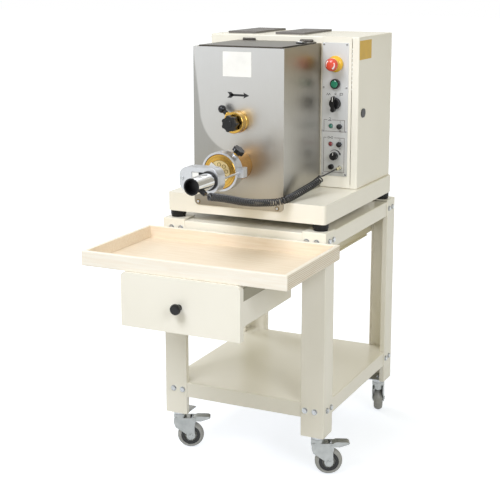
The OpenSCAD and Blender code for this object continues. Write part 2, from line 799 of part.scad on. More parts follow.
module cabinet()
  color(cream) difference() {
    box([-cab_w / 2, cab_front, pan_top], [cab_w / 2, cab_rear, cab_top]);
    box([-cab_w / 2 + cab_sheet, cab_front + cab_sheet, pan_top + cab_sheet],
        [cab_w / 2 - cab_sheet, cab_rear - cab_sheet, cab_top - cab_sheet]);
    box([-cab_w / 2 + 25, cab_front + 25, pan_top - 1], [cab_w / 2 - 25, cab_rear - 25, pan_top + 3]);
    // openings for the back cover, the vents, the controls and the two shafts
    slab_y(cab_rear - 3, cab_rear + 1) translate([0, back_mid])
      square([back_w - 40, back_h - 40], center = true);
    for (x = vent_xs) translate([x, vent_y, cab_top - 3]) linear_extrude(6)
      square([vent_w - 14, vent_d - 14], center = true);
    for (i = [0 : 7]) translate([slot_row_x, cab_rear - 30 - i * 27, cab_top - 3])
      rotate(90) linear_extrude(6) stadium(20, 4);
    slab_y(cab_front - 1, cab_front + 3) translate([ctrl_x, (pan_top + cab_top) / 2])
      square([fascia_w - 16, cab_h - 30], center = true);
    translate([work_x, 0, mixer_z]) rod_y(mixer_d / 2 + 2, cab_front - 1, cab_front + 3);
    translate([work_x, 0, auger_z]) rod_y(auger_shaft_d / 2 + 2, cab_front - 1, cab_front + 3);
    translate([0, side_plug_y, side_plug_z]) slab_x(cab_w / 2 - 3, cab_w / 2 + 1) stadium(30, 22);
    // joint between the strip with the controls and the front's right edge
    box([fascia_x0 + fascia_w, cab_front - 1, pan_top + 12],
        [fascia_x0 + fascia_w + fascia_joint, cab_front + 3, cab_top - 6]);
  }

back_mid = pan_top + cab_h / 2;
side_plug_y = cab_front + 41;
side_plug_z = pan_top + cab_h / 2;
mains_x = -cab_w / 2 + 75;
mains_z = pan_top + 55;
mains_bore_r = 4.5;

module top_vents()
  color("#7E8082") for (x = vent_xs) translate([x, vent_y, cab_top]) difference() {
    linear_extrude(vent_h) round_rect(vent_w, vent_d, 4);
    translate([0, 0, -1]) linear_extrude(vent_h - 1)
      square([vent_w - 8, vent_d - 8], center = true);
    for (i = [-4 : 4]) translate([0, i * (vent_d - 16) / 9, vent_h - 3]) linear_extrude(4)
      stadium(vent_w - 16, 6);
  }

module rear_cover()
  color(cream) slab_y(cab_rear, cab_rear + cab_sheet) translate([0, back_mid]) difference() {
    round_rect(back_w, back_h, 6);
    for (i = [0 : 9], s = [-1, 1]) translate([s * 90, 40 + i * 14]) stadium(110, 5);
    translate([mains_x, mains_z - back_mid]) circle(9.2);
  }

module cable_glands()
  color(black) {
    // blind plug in the right side of the cabinet
    translate([0, side_plug_y, side_plug_z]) {
      slab_x(cab_w / 2, cab_w / 2 + 2) stadium(34, 26);
      slab_x(cab_w / 2 - 6, cab_w / 2 + eps) stadium(29.6, 21.6);
    }
    // gland for the mains cable in the back
    translate([mains_x, 0, mains_z]) difference() {
      union() {
        rod_y(9, cab_rear - 8, cab_rear + cab_sheet + eps);
        translate([0, cab_rear + cab_sheet + 8, 0]) rotate([90, 0, 0]) cylinder(r = 13, h = 8, $fn = 6);
        rod_y(10.5, cab_rear + cab_sheet + 7, cab_rear + cab_sheet + 20);
      }
      rod_y(mains_bore_r, cab_rear - 9, cab_rear + cab_sheet + 21);
    }
    // gland on the cutter's motor, where the curly cord leaves it
    translate([motor_x, gland_y, auger_z]) rotate([0, -gland_turn, 0]) difference() {
      union() {
        rod_x(gland_r, motor_d / 2 - 2, gland_out);
        translate([motor_d / 2 + 1, 0, 0]) rotate([0, 90, 0]) cylinder(r = gland_r + 1.5, h = 5, $fn = 6);
      }
      rod_y(motor_d / 2 + run, -20, 20);
    }
  }

// --- Controls
module panel_cutouts(y0, y1, free) {
  for (z = [stop_z, start_z, selector_z]) translate([ctrl_x, 0, z]) rod_y(shank_r + free, y0, y1);
  for (z = [lamp_upper_z, lamp_lower_z]) {
    translate([lamp_x, 0, z]) rod_y(small_r + free, y0, y1);
    translate([toggle_x, 0, z]) rod_y(small_r + free, y0, y1);
  }
  translate([ctrl_x, 0, speed_z]) rod_y(small_r + free, y0, y1);
  translate([fuse_x, 0, fuse_z]) rod_y(small_r + free, y0, y1);
  translate([jack_x, 0, jack_z]) rod_y(small_r + free, y0, y1);
}

module control_fascia()
  color(cream) difference() {
    box([fascia_x0, fascia_y, pan_top + 2.5], [fascia_x0 + fascia_w, cab_front, cab_top]);
    panel_cutouts(fascia_y - 1, cab_front + 1, 0.3);
    for (p = ctrl_screws) translate([p[0], 0, p[1]]) rod_y(1.8, fascia_y - 1, cab_front + 1);
  }

module control_plate()
  color("#D3D5D6") difference() {
    slab_y(ctrl_y, fascia_y) translate([ctrl_plate_x0 + ctrl_plate_w / 2, ctrl_low + ctrl_plate_h / 2])
      round_rect(ctrl_plate_w, ctrl_plate_h, 2);
    panel_cutouts(ctrl_y - 1, fascia_y + 1, 0.3);
    for (p = ctrl_screws) translate([p[0], 0, p[1]]) rod_y(1.8, ctrl_y - 1, fascia_y + 1);
  }

module stop_collar()
  color("#E8B41C") translate([ctrl_x, ctrl_y, stop_z]) difference() {
    union() {
      turned_y() polygon([[0, 0], [stop_collar_d / 2 - 2, 0], [stop_collar_d / 2, 3],
                          [stop_collar_d / 2, 8], [stop_collar_d / 2 - 4, 12],
                          [stop_collar_d / 2 - 7, 14], [stop_collar_d / 2 - 8.5, stop_cup], [0, stop_cup]]);
      rod_y(shank_r, -eps, behind + 10);
    }
    rod_y(stop_neck_r + run, -stop_cup - 1, behind);
  }

module stop_button()
  color("#D8301F") translate([ctrl_x, ctrl_y, stop_z]) {
    y = stop_cup + stop_travel + 1;
    turned_y() polygon([[0, y], [stop_d / 2 - 4, y], [stop_d / 2 - 1, y + 2], [stop_d / 2, y + 5],
                        [stop_d / 2 - 0.6, y + 10], [stop_d / 2 - 3.5, y + 15], [stop_d / 2 - 9, y + 18.6],
                        [0, y + 20]]);
    rod_y(stop_neck_r, -y - eps, behind - stop_travel - 1);
  }

module panel_fittings() {
  color(black) translate([ctrl_x, ctrl_y, start_z]) difference() {
    union() {
      turned_y() polygon([[0, 0], [start_bezel_d / 2, 0], [start_bezel_d / 2, start_rim - 2],
                          [start_bezel_d / 2 - 1.5, start_rim], [0, start_rim]]);
      rod_y(shank_r, -eps, behind);
    }
    rod_y(start_bezel_d / 2 - 3.5, -start_rim - 1, -2);
    rod_y(4 + run, -start_rim, behind + 1);
  }
  color(black) translate([ctrl_x, ctrl_y, selector_z]) difference() {
    union() {
      rod_y(selector_d / 2, -4, 0);
      rod_y(shank_r, -eps, behind);
    }
    rod_y(4 + run, -5, behind + 1);
  }
  // lamps: a thin chrome rim and a domed lens each
  for (p = [[lamp_upper_z, "#0E7A4E"], [lamp_lower_z, "#9E2430"]])
    translate([lamp_x, ctrl_y, p[0]]) color(p[1]) {
      rod_y(small_r, -eps, behind);
      turned_y() polygon([[0, 0], [lamp_d / 2, 0], [lamp_d / 2, 2], [lamp_d / 2 - 1, 3.4],
                          [lamp_d / 2 - 3, 5], [0, 5.8]]);
    }
  // threaded bushes with nuts under the toggles and the knob, and the jack socket
  color(steel) for (p = [[toggle_x, lamp_upper_z, 4.4], [toggle_x, lamp_lower_z, 4.4],
                         [ctrl_x, speed_z, 3 + run], [jack_x, jack_z, plug_pin_r + run]])
    translate([p[0], ctrl_y, p[1]]) difference() {
      union() {
        rod_y(small_r, -eps, behind);
        rotate([90, 0, 0]) cylinder(r = 7.5, h = 2, $fn = 6);
      }
      rod_y(p[2], -3, behind + 1);
    }
  color(black) translate([fuse_x, ctrl_y, fuse_z]) {
    turned_y() polygon([[0, 0], [fuse_d / 2, 0], [fuse_d / 2 - 1, 9], [fuse_d / 2 - 2.5, 11], [0, 11]]);
    rod_y(small_r, -eps, behind);
  }
}

module start_button()
  color("#0F8A54") translate([ctrl_x, ctrl_y, start_z]) {
    turned_y() polygon([[0, 2 + start_travel + 0.5], [start_bezel_d / 2 - 4, 2 + start_travel + 0.5],
                        [start_bezel_d / 2 - 4, start_rim + 0.5], [start_bezel_d / 2 - 6, start_rim + 1.5],
                        [0, start_rim + 2]]);
    rod_y(4, -start_rim, behind - start_travel);
  }

module selector_knob()
  color(black) translate([ctrl_x, ctrl_y - 4 - seat, selector_z]) {
    turned_y() polygon([[0, 0], [selector_d / 2 - 1, 0], [selector_d / 2 - 1, 7],
                        [selector_d / 2 - 3, 9], [0, 9]]);
    slab_y(-21, -8) {
      square([11, 34], center = true);
      translate([0, -17.5]) circle(6.5);
      translate([0, 17]) circle(5.5);
    }
    rod_y(4, -eps, behind);
  }

// Toggle lever in its rubber boot; it rocks about the face of the plate
module toggle(z)
  color(black) translate([toggle_x, ctrl_y, z]) {
    sphere(r = 4);
    turned_y() polygon([[0, 2], [2.2, 2], [6, 5], [8.2, 8], [7.6, 12], [4.6, 14], [4.4, 18.5],
                        [3, 20], [0, 20.5]]);
  }

module toggle_upper() toggle(lamp_upper_z);
module toggle_lower() toggle(lamp_lower_z);

module speed_knob()
  color(black) translate([ctrl_x, ctrl_y - 2 - seat, speed_z]) {
    slab_y(-4, 0) circle(speed_d / 2);
    slab_y(-14, -4) star(speed_d / 2 - 0.5, 18);
    rod_y(3, -eps, behind);
  }

module jack_plug()
  color(brass) translate([jack_x, ctrl_y - 2, jack_z]) {
    turned_y() polygon([[0, 0], [plug_r, 0], [plug_r, plug_len - 9], [plug_r - 1.4, plug_len],
                        [0, plug_len]]);
    rod_y(plug_pin_r, -eps, plug_pin_len);
  }

// --- Vat
module trough_section(g) {
  translate([work_x, mixer_z]) circle(trough_r + g);
  translate([work_x, auger_z]) circle(channel_r + g);
  polygon([[work_x - trough_r - g, mixer_z], [work_x + trough_r + g, mixer_z],
           [work_x + trough_top + g, rim_top], [work_x - trough_top - g, rim_top]]);
}

module vat_trough()
  color(steel) difference() {
    slab_y(trough_front, trough_rear) trough_section(trough_sheet);
    slab_y(trough_front + trough_sheet, trough_rear - trough_sheet) trough_section(0);
    box([work_x - trough_top, trough_front + trough_sheet, rim_top - 5],
        [work_x + trough_top, trough_rear - trough_sheet, rim_top + 1]);
    translate([work_x, 0, mixer_z]) {
      rod_y(spigot_r + run, trough_front - 1, trough_front + 5);
      rod_y(mixer_d / 2 + run, trough_rear - 5, trough_rear + 1);
    }
    translate([work_x, 0, auger_z]) {
      rod_y(barrel_bore_d / 2, trough_front - 1, trough_front + 5);
      rod_y(auger_shaft_d / 2 + run, trough_rear - 5, trough_rear + 1);
    }
  }

spigot_r = 20;

module vat_jacket()
  color("#AEAFAD") difference() {
    union() {
      slab_y(plate_front, plate_back) {
        translate([(jacket_x0 + jacket_x1) / 2, (pan_top - plate_hang + jacket_top) / 2])
          round_rect(jacket_w, jacket_h + plate_hang, plate_r);
        translate([jacket_x0, jacket_top - 40]) square([jacket_w, 40]);
      }
      box([jacket_x0, plate_back - eps, pan_top], [jacket_x0 + jacket_sheet, cab_front, jacket_top]);
      box([jacket_x1 - jacket_sheet, plate_back - eps, pan_top], [jacket_x1, cab_front, jacket_top]);
      box([jacket_x0, plate_back - eps, rim_top], [jacket_x1, cab_front, jacket_top]);
    }
    box([work_x - trough_top, trough_front + trough_sheet, rim_top - 1],
        [work_x + trough_top, trough_rear - 22, jacket_top + 1]);
    translate([work_x, 0, mixer_z]) rod_y(spigot_r + run, plate_front - 1, plate_back + 1);
    translate([work_x, 0, auger_z]) rod_y(barrel_d / 2 + run, plate_front - 1, plate_back + 1);
    for (x = plate_screw_xs) translate([x, 0, plate_screw_z]) rod_y(2.5, plate_front - 1, plate_back + 1);
  }

module lid()
  color("#8F9191") difference() {
    union() {
      difference() {
        box([work_x - lid_w / 2, lid_y0, lid_low], [work_x + lid_w / 2, lid_y1, lid_low + lid_h]);
        box([work_x - lid_w / 2 + jacket_sheet, lid_y0 + jacket_sheet, lid_low - 1],
            [work_x + lid_w / 2 - jacket_sheet, lid_y1 - jacket_sheet, lid_low + lid_h - jacket_sheet]);
      }
      for (x = knuckle_xs) {
        translate([0, hinge_y, hinge_z]) rod_x(knuckle_r, x - knuckle_w / 2, x + knuckle_w / 2);
        box([x - knuckle_w / 2, lid_y1 - eps, lid_low + lid_h - 3],
            [x + knuckle_w / 2, hinge_y, lid_low + lid_h]);
      }
    }
    translate([0, hinge_y, hinge_z]) rod_x(hinge_pin_d / 2 + run, -cab_w / 2, cab_w / 2);
  }

module lid_hinge()
  color(steel) for (x = knuckle_xs) {
    half = knuckle_w / 2 + seat + lug_t;
    translate([0, hinge_y, hinge_z]) rod_x(hinge_pin_d / 2, x - half - 1, x + half + 1);
    for (s = [-1, 1]) {
      xl = x + s * (knuckle_w / 2 + seat + lug_t / 2);
      translate([0, hinge_y, hinge_z]) rod_x(knuckle_r, xl - lug_t / 2, xl + lug_t / 2);
      box([xl - lug_t / 2, hinge_y - knuckle_r, jacket_top],
          [xl + lug_t / 2, hinge_y + knuckle_r, hinge_z]);
    }
  }

// --- Mixer, auger and their drive
function involute(base_r, roll) =
  [base_r * (cos(roll) + roll * PI / 180 * sin(roll)),
   base_r * (sin(roll) - roll * PI / 180 * cos(roll))];
function turn2(p, a) = [p[0] * cos(a) - p[1] * sin(a), p[0] * sin(a) + p[1] * cos(a)];
function roll_at(base_r, r) = sqrt(max(0, pow(r / base_r, 2) - 1)) * 180 / PI;

// Involute spur gear: 20 degree pressure angle, with a little backlash
module gear2d(teeth, m) {
  pitch_r = m * teeth / 2;
  base_r = pitch_r * cos(20);
  root_r = pitch_r - 1.25 * m;
  tip_r = pitch_r + 0.94 * m;
  half = 90 / teeth - 0.3 / pitch_r * 180 / PI;
  at_pitch = involute(base_r, roll_at(base_r, pitch_r));
  shift = half + atan2(at_pitch[1], at_pitch[0]);
  rolls = [for (k = [0 : 4]) roll_at(base_r, max(base_r, root_r) + k / 4 * (tip_r - max(base_r, root_r)))];
  flank = [for (a = rolls) turn2(involute(base_r, a), -shift)];
  tooth = concat([turn2([root_r, 0], -shift)], flank,
                 [for (k = [4 : -1 : 0]) [flank[k][0], -flank[k][1]]], [turn2([root_r, 0], shift)]);
  polygon([for (i = [0 : teeth - 1], p = tooth) turn2(p, i * 360 / teeth)]);
}

module gear(teeth, shaft_r, phase)
  slab_y(gear_y0, gear_y1) difference() {
    rotate(phase) gear2d(teeth, gear_module);
    circle(shaft_r);
    for (a = [0 : 60 : 300]) rotate(a) translate([gear_module * teeth * 0.29, 0])
      circle(gear_module * teeth * 0.085);
  }

paddle_ys = [for (k = [0 : 4]) trough_front + 38 + k * 46];

module mixer_shaft() {
  translate([work_x, 0, mixer_z]) {
    color(steel) {
      rod_y(mixer_d / 2, mixer_front, shaft_end);
      for (k = [0 : 4]) translate([0, paddle_ys[k], 0]) rotate([0, 90 + k * 72, 0]) {
        cylinder(r = paddle_arm_d / 2, h = paddle_reach - 22);
        translate([-15, 0, paddle_reach - 30]) rotate([0, 0, 25]) paddle_blade();
      }
    }
    color(dark_steel) gear(mixer_teeth, mixer_d / 2, 0);
  }
}

module paddle_blade()
  translate([15, 2, 0]) rotate([90, 0, 0]) linear_extrude(4) {
    translate([-14, 0]) square([28, 18]);
    intersection() {
      circle(30);
      translate([-14, 10]) square([28, 20]);
    }
  }

// Triangles of a closed strip: n steps, each with the same number of corners
function swept_faces(n, corners) = concat(
  [[for (k = [corners - 1 : -1 : 0]) k]],
  [for (i = [0 : n - 1], k = [0 : corners - 1], half = [0, 1])
   let (a = corners * i + k, b = corners * i + (k + 1) % corners)
   half == 0 ? [a, b, b + corners] : [a, b + corners, a + corners]],
  [[for (k = [0 : corners - 1]) corners * n + k]]);

// Core of the auger with its flight: one outline turned as it moves along Y,
// with plain ends that run into the shaft
core_r = auger_shaft_d / 2 - 0.5;
function flight_outline(tip) = concat(
  [for (a = [-22, 0, 22]) tip * [cos(a), sin(a)]],
  [for (k = [0 : 8]) core_r * [cos(40 + k * 35), sin(40 + k * 35)]]);
function tip_at(i, n) =
  let (k = min(i, n - i)) k < 2 ? core_r : k == 2 ? (core_r + auger_d / 2) / 2 : auger_d / 2;

module flighted_core(y0, turns) {
  n = turns * 12;
  points = [for (i = [0 : n], p = flight_outline(tip_at(i, n)))
            let (q = turn2(p, i * 30)) [q[0], y0 + i * auger_pitch / 12, q[1]]];
  polyhedron(points, swept_faces(n, 12));
}

auger_front = die_back + 6;
flight_y0 = auger_front + 8;
flight_turns = floor((trough_rear - trough_sheet - 8 - flight_y0) / auger_pitch);
flight_y1 = flight_y0 + flight_turns * auger_pitch;

module auger()
  translate([work_x, 0, auger_z]) {
    color(steel) {
      translate([0, auger_front, 0]) rotate([-90, 0, 0])
        cylinder(r1 = 5, r2 = auger_shaft_d / 2, h = flight_y0 - auger_front + 1);
      flighted_core(flight_y0, flight_turns);
      rod_y(auger_shaft_d / 2, flight_y1 - 1, shaft_end);
    }
    color(dark_steel) gear(auger_teeth, auger_shaft_d / 2, 90 + 180 / auger_teeth);
  }

module drive_unit() {
  motor_z = auger_z + 6;
  color("#6F7478") difference() {
    union() {
      box([work_x - 62, box_y0, pan_top + 14], [work_x + 62, box_y1, mixer_z + 52]);
      box([work_x - 80, box_y0 + 8, pan_top], [work_x + 80, box_y1 - 8, pan_top + 14 + eps]);
    }
    translate([work_x, 0, mixer_z]) rod_y(mixer_d / 2 + run, box_y0 - 1, shaft_end + 1);
    translate([work_x, 0, auger_z]) rod_y(auger_shaft_d / 2 + run, box_y0 - 1, shaft_end + 1);
  }
  color("#4E5A66") translate([work_x, 0, motor_z + drive_d / 2 - 45]) {
    rod_y(drive_d / 2 - 4, box_y1, cab_rear - 24);
    for (k = [0 : 6]) rod_y(drive_d / 2, box_y1 + 8 + k * 14, box_y1 + 13 + k * 14);
    box([-30, box_y1 + 30, drive_d / 2 - 12], [30, box_y1 + 90, drive_d / 2 + 24]);
  }
}

module mixer_bush()
  color(brass) translate([work_x, 0, mixer_z]) difference() {
    union() {
      translate([0, plate_front, 0]) turned_y() polygon([
        [0, 0], [bush_d / 2, 0], [bush_d / 2, 12], [bush_d / 2 - 1, 13],
        [bush_d / 2 - 1, bush_len - 1], [bush_d / 2 - 2, bush_len], [0, bush_len]]);
      rod_y(spigot_r, plate_front - eps, trough_front + trough_sheet);
      translate([0, pin_y, 0]) rotate([0, -pin_turn, 0]) rod_x(pin_r + 4, bush_d / 2 - 4, ferrule_out);
    }
    rod_y(mixer_d / 2 + run, mixer_front - 1, trough_front + trough_sheet + 1);
    rod_y(6 + run, bush_face - 1, mixer_front);
    translate([0, pin_y, 0]) rotate([0, -pin_turn, 0]) rod_x(pin_r + run, bush_d / 2 - 13, ferrule_out + 1);
  }

module star_knob()
  color(black) translate([work_x, bush_face - seat, mixer_z]) {
    rod_y(13, -6, 0);
    slab_y(-26, -6 + eps) star(star_d / 2, 7);
    rod_y(10, -28, -26 + eps);
    rod_y(6, -eps, bush_len - 20);
  }

module lock_pin()
  translate([work_x, pin_y, mixer_z]) rotate([0, -pin_turn, 0]) {
    color(steel) rod_x(pin_r, bush_d / 2 - 12.5, ferrule_out + 2);
    color(black) difference() {
      union() {
        rod_x(7, ferrule_out + seat, ball_out - 6);
        translate([ball_out, 0, 0]) sphere(d = ball_d);
      }
      rod_x(pin_r, ferrule_out - 1, ferrule_out + 2);
    }
  }

// --- Extruder
module extruder_barrel()
  color(bronze) translate([work_x, 0, auger_z]) difference() {
    rod_y(barrel_d / 2, die_back, plate_back);
    rod_y(barrel_bore_d / 2, die_back - 1, plate_back + 1);
  }

module die_ring()
  color(brass) translate([work_x, ring_face, auger_z]) difference() {
    turned_y() translate([0, -ring_nut_len]) polygon([
      [die_face_d / 2, ring_nut_len], [ring_nut_d / 2 - 2, ring_nut_len],
      [ring_nut_d / 2, ring_nut_len - 2], [ring_nut_d / 2, 0], [die_face_d / 2, 0]]);
    rod_y(barrel_d / 2 + run, lip_t + seat, ring_nut_len + 1);
  }

module die_plate()
  color("#D8BE7A") translate([work_x, 0, auger_z]) difference() {
    union() {
      rod_y(barrel_d / 2 - seat, die_front + 2 * seat, die_back);
      rod_y(die_face_d / 2 - seat, ring_face + 1, die_front + 1);
      for (i = [0 : insert_count - 1])
        translate(insert_at(i)) rod_y(insert_d / 2, ring_face + 0.4, die_front);
    }
    for (i = [0 : insert_count - 1])
      translate(insert_at(i)) rod_y(insert_d * 0.22, ring_face - 1, die_back + 1);
  }

function insert_at(i) =
  let (a = 5 + i * 360 / insert_count, r = die_face_d / 2 - 11) [r * cos(a), 0, r * sin(a)];

module clamp_ring()
  color(alloy) translate([work_x, 0, auger_z]) difference() {
    union() {
      rod_y(clamp_d / 2, ring_face, clamp_back);
      box([rod_offset - 8, ear_y0, -ear_h / 2], [ear_out, ear_y1, ear_h / 2]);
      translate([0, clamp_boss_y, 0]) rotate([0, -clamp_turn, 0])
        rod_x(7.5, clamp_d / 2 - 6, clamp_boss_out);
    }
    rod_y(ring_nut_d / 2 + seat, ring_face - 1, nut_back + seat);
    rod_y(barrel_d / 2 + run, ring_face - 1, clamp_back + 1);
    translate([rod_offset, 0, 0]) rod_y(rod_d / 2 + run, ring_face - 1, ear_y0 + 17);
    translate([0, clamp_boss_y, 0]) rotate([0, -clamp_turn, 0])
      rod_x(stud_r + run, barrel_d / 2 - 1, clamp_boss_out + 1);
  }

clamp_boss_y = (nut_back + clamp_back) / 2;

module clamp_knob()
  translate([work_x, clamp_boss_y, auger_z]) rotate([0, -clamp_turn, 0]) {
    color(brass) {
      rod_x(stud_r, barrel_d / 2 + seat, clamp_knob_out + 4);
      rod_x(stud_r + 3, clamp_boss_out + seat, clamp_knob_out - run);
    }
    color(black) difference() {
      translate([clamp_knob_out, 0, 0]) rotate([0, 90, 0]) linear_extrude(13) star(clamp_knob_d / 2, 7);
      rod_x(stud_r, clamp_knob_out - 1, clamp_knob_out + 4);
    }
  }

// --- Cutter
module cutter_rod()
  color(steel) translate([work_x + rod_offset, 0, auger_z]) rod_y(rod_d / 2, arm_y1 - 12, ear_y0 + 16.5);

module cutter_arm()
  color(alloy) difference() {
    slab_y(arm_y0, arm_y1) translate([arm_mid, auger_z]) round_rect(arm_w, arm_h, arm_r);
    // groove round the edge between the arm's body and its front plate
    slab_y(arm_y0 + 9, arm_y0 + 10.5) translate([arm_mid, auger_z]) difference() {
      round_rect(arm_w + 4, arm_h + 4, arm_r + 2);
      round_rect(arm_w - 2, arm_h - 2, arm_r - 1);
    }
    // pocket that the motor's block slides in, and the opening in its floor
    slab_y(arm_y0 - 1, arm_y0 + slot_deep) translate([(arm_x0 + 36 + motor_x) / 2, auger_z + 4])
      round_rect(motor_x - arm_x0 - 36, slot_h, 2);
    slab_y(arm_y0 - 1, arm_y0 + arm_t / 2) translate([(arm_x0 + 58 + motor_x) / 2, auger_z + 4])
      square([motor_x - arm_x0 - 58, slot_h - 2], center = true);
    translate([work_x, 0, auger_z]) rod_y(knife_shaft_d / 2 + run, arm_y0 + 4, arm_y1 + 1);
    translate([work_x + rod_offset, 0, auger_z]) rod_y(rod_d / 2 + run, arm_y1 - 12.5, arm_y1 + 1);
    translate([arm_x0 + 8, 0, auger_z + 2]) rod_y(3 + run, arm_y0 - 1, arm_y0 + 12);
  }

module cutter_motor() {
  color(steel) translate([motor_x, 0, auger_z]) {
    rod_y(motor_flange_r, arm_y0 - motor_flange, arm_y0);
    difference() {
      rod_y(motor_d / 2, motor_y0 + motor_cap, arm_y0 - motor_flange + eps);
      rod_y(motor_liner, motor_y0, motor_y0 + motor_mouth + 2);
    }
    for (a = [45 : 90 : 315]) rotate([0, a, 0]) translate([motor_flange_r - 2, arm_y0 - motor_flange, 0])
      rod_y(1.8, -1.5, eps);
  }
  color(steel) translate([arm_x0 + 8, arm_y0, auger_z + 2]) panel_screw(5, 2.5, 10);
  color(black) translate([motor_x, motor_y0, auger_z]) difference() {
    union() {
      rod_y(motor_d / 2, 0, motor_cap);
      rod_y(motor_liner, motor_cap - eps, motor_mouth + 2);
    }
    rod_y(motor_liner - 1.5, -1, motor_mouth);
  }
}

module knife()
  color(steel) translate([work_x, 0, auger_z]) {
    rod_y(knife_shaft_d / 2, arm_y0 + arm_t / 2 + 1, ring_face - 2);
    rod_y(knife_shaft_d / 2 + 4, ring_face - 14, ring_face - 3);
    rotate([0, 35, 0]) difference() {
      box([-knife_reach, ring_face - 3, -9], [5, ring_face - 0.8, 7]);
      translate([-knife_reach - 1, 0, -9]) rotate([0, -12, 0])
        box([-5, ring_face - 4, -10], [knife_reach, ring_face, 0]);
    }
  }

// --- Cord: a tube swept along a route, with one ring of corners at each point
function unit(v) = v / norm(v);
function route_dir(r, i) = unit(r[min(i + 1, len(r) - 1)] - r[max(i - 1, 0)]);
function side_of(d) = unit(cross(d, [0, 0, 1]));

module cord_tube(route, full_r, sides, first = 1) {
  n = len(route);
  points = [for (i = [0 : n - 1], k = [0 : sides - 1])
            let (d = route_dir(route, i), a = side_of(d), b = cross(a, d),
                 r = full_r * min(1, first + 0.2 * i))
            route[i] + r * (cos(k * 360 / sides) * a + sin(k * 360 / sides) * b)];
  polyhedron(points, swept_faces(n - 1, sides));
}

module cord_coil() color(black) cord_tube(curl_route, curl_d / 2, 10, 0.5);

module cord_lead() color(black) cord_tube(lead_route, cord_d / 2, 8);

at_origin() stand_legs();
at_origin() top_rails();
at_origin() lower_shelf();
at_origin() frame_fasteners();
at_origin() caster_plates();
at_origin() drawer_carriers();
at_origin() base_pan();
at_origin() rubber_feet();
at_origin() cabinet();
at_origin() top_vents();
at_origin() rear_cover();
at_origin() control_fascia();
at_origin() control_plate();
at_origin() stop_collar();
at_origin() panel_fittings();
at_origin() cable_glands();
at_origin() vat_jacket();
at_origin() vat_trough();
at_origin() mixer_bush();
at_origin() extruder_barrel();
at_origin() clamp_ring();
at_origin() die_plate();
at_origin() lid_hinge();
at_origin() drive_unit();
at_origin() cutter_rod();
at_origin() cutter_arm();
at_origin() cutter_motor();
at_origin() cord_coil();
at_origin() cord_lead();
at_origin() jack_plug();
at_origin() drawer_box();
at_origin() drawer_front();
at_origin() drawer_knob();
at_origin() runner_inners();
at_origin() runner_middles();
at_origin() tray();
at_origin() lid();
at_origin() mixer_shaft();
at_origin() auger();
at_origin() star_knob();
at_origin() lock_pin();
at_origin() die_ring();
at_origin() clamp_knob();
at_origin() knife();
at_origin() stop_button();
at_origin() start_button();
at_origin() selector_knob();
at_origin() toggle_upper();
at_origin() toggle_lower();
at_origin() speed_knob();
at_origin() fork(0);  // fork_front_left
at_origin() fork(1);  // fork_front_right
at_origin() fork(2);  // fork_rear_left
at_origin() fork(3);  // fork_rear_right
at_origin() wheel(0);  // wheel_front_left
at_origin() wheel(1);  // wheel_front_right
at_origin() wheel(2);  // wheel_rear_left
at_origin() wheel(3);  // wheel_rear_right
at_origin() pedal(0);  // pedal_left
at_origin() pedal(1);  // pedal_right
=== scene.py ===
# %% [markdown]
# # Electric pasta maker on a wheeled stand
# The solids of the machine come in as a fixed frame. This file gives them their
# surfaces: folded sheet gets its bend radii, metals their grain, and the curly cord
# its real coil. Everything is in metres, +Z up, and the front faces -Y.

# %% Load the frame
import math

import bmesh
import bpy
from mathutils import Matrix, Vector


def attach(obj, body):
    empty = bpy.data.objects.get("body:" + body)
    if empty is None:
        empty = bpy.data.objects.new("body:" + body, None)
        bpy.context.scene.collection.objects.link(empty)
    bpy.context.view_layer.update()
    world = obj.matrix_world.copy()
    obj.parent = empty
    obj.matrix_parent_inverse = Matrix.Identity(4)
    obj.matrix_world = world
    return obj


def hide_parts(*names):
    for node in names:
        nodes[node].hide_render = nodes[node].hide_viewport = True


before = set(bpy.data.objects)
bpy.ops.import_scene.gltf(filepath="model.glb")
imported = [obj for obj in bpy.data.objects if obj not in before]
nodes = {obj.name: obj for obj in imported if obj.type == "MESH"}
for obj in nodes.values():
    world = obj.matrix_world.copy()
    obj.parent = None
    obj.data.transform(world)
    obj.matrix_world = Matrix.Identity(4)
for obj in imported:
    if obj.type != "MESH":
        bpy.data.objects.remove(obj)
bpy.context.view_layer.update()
scene = bpy.context.scene

# %% [markdown]
# ## Places
# The machine was drawn in millimetres round the middle of its stand, and then moved so
# that its origin is the middle of the whole footprint. `at` makes the same move, so that
# a piece can be placed with the numbers of the drawing, and `drawn` goes back.

# %% Drawing coordinates
MM = 0.001
SHIFT = Vector((-7.1323, 181.0847, 0.0))
WORK_X = -14.0                       # axis of the mixer, the auger and the die
MIXER_Z, AUGER_Z = 1015.0, 891.0
PLATE_FRONT = -283.0                 # front face of the vat's plate
RING_FACE = -404.0                   # front face of the ring nut
MOTOR_X = 24.0                       # axis of the cutter's motor
PANEL_Y = -19.0                      # face of the control plate
PANEL_X = 170.5                      # column of the large controls
LAMP_X, TOGGLE_X, JACK_X = PANEL_X - 13, PANEL_X + 16, PANEL_X + 17
STOP_Z, SELECTOR_Z, SPEED_Z, JACK_Z = 1162.0, 1047.0, 892.0, 857.5
LAMPS_Z = (980.0, 927.0)
FORWARD = (0, -1, 0)                 # the way that the front faces


def at(x, y, z):
    return (Vector((x, y, z)) + SHIFT) * MM


def drawn(point):
    """A point of the frame in the drawing's millimetres."""
    return point / MM - SHIFT


def to_linear(hex_colour):
    """An sRGB hex colour as the linear RGBA that shaders want."""
    rgb = [int(hex_colour[i:i + 2], 16) / 255 for i in (1, 3, 5)]
    return [c / 12.92 if c <= 0.04045 else ((c + 0.055) / 1.055) ** 2.4 for c in rgb] + [1.0]


print("origin of the drawing", [round(c, 4) for c in at(0, 0, 0)])

# %% [markdown]
# ## Camera
# A long lens from the right of the front, a little above the machine. The small shift
# keeps the uprights upright while the view looks down.

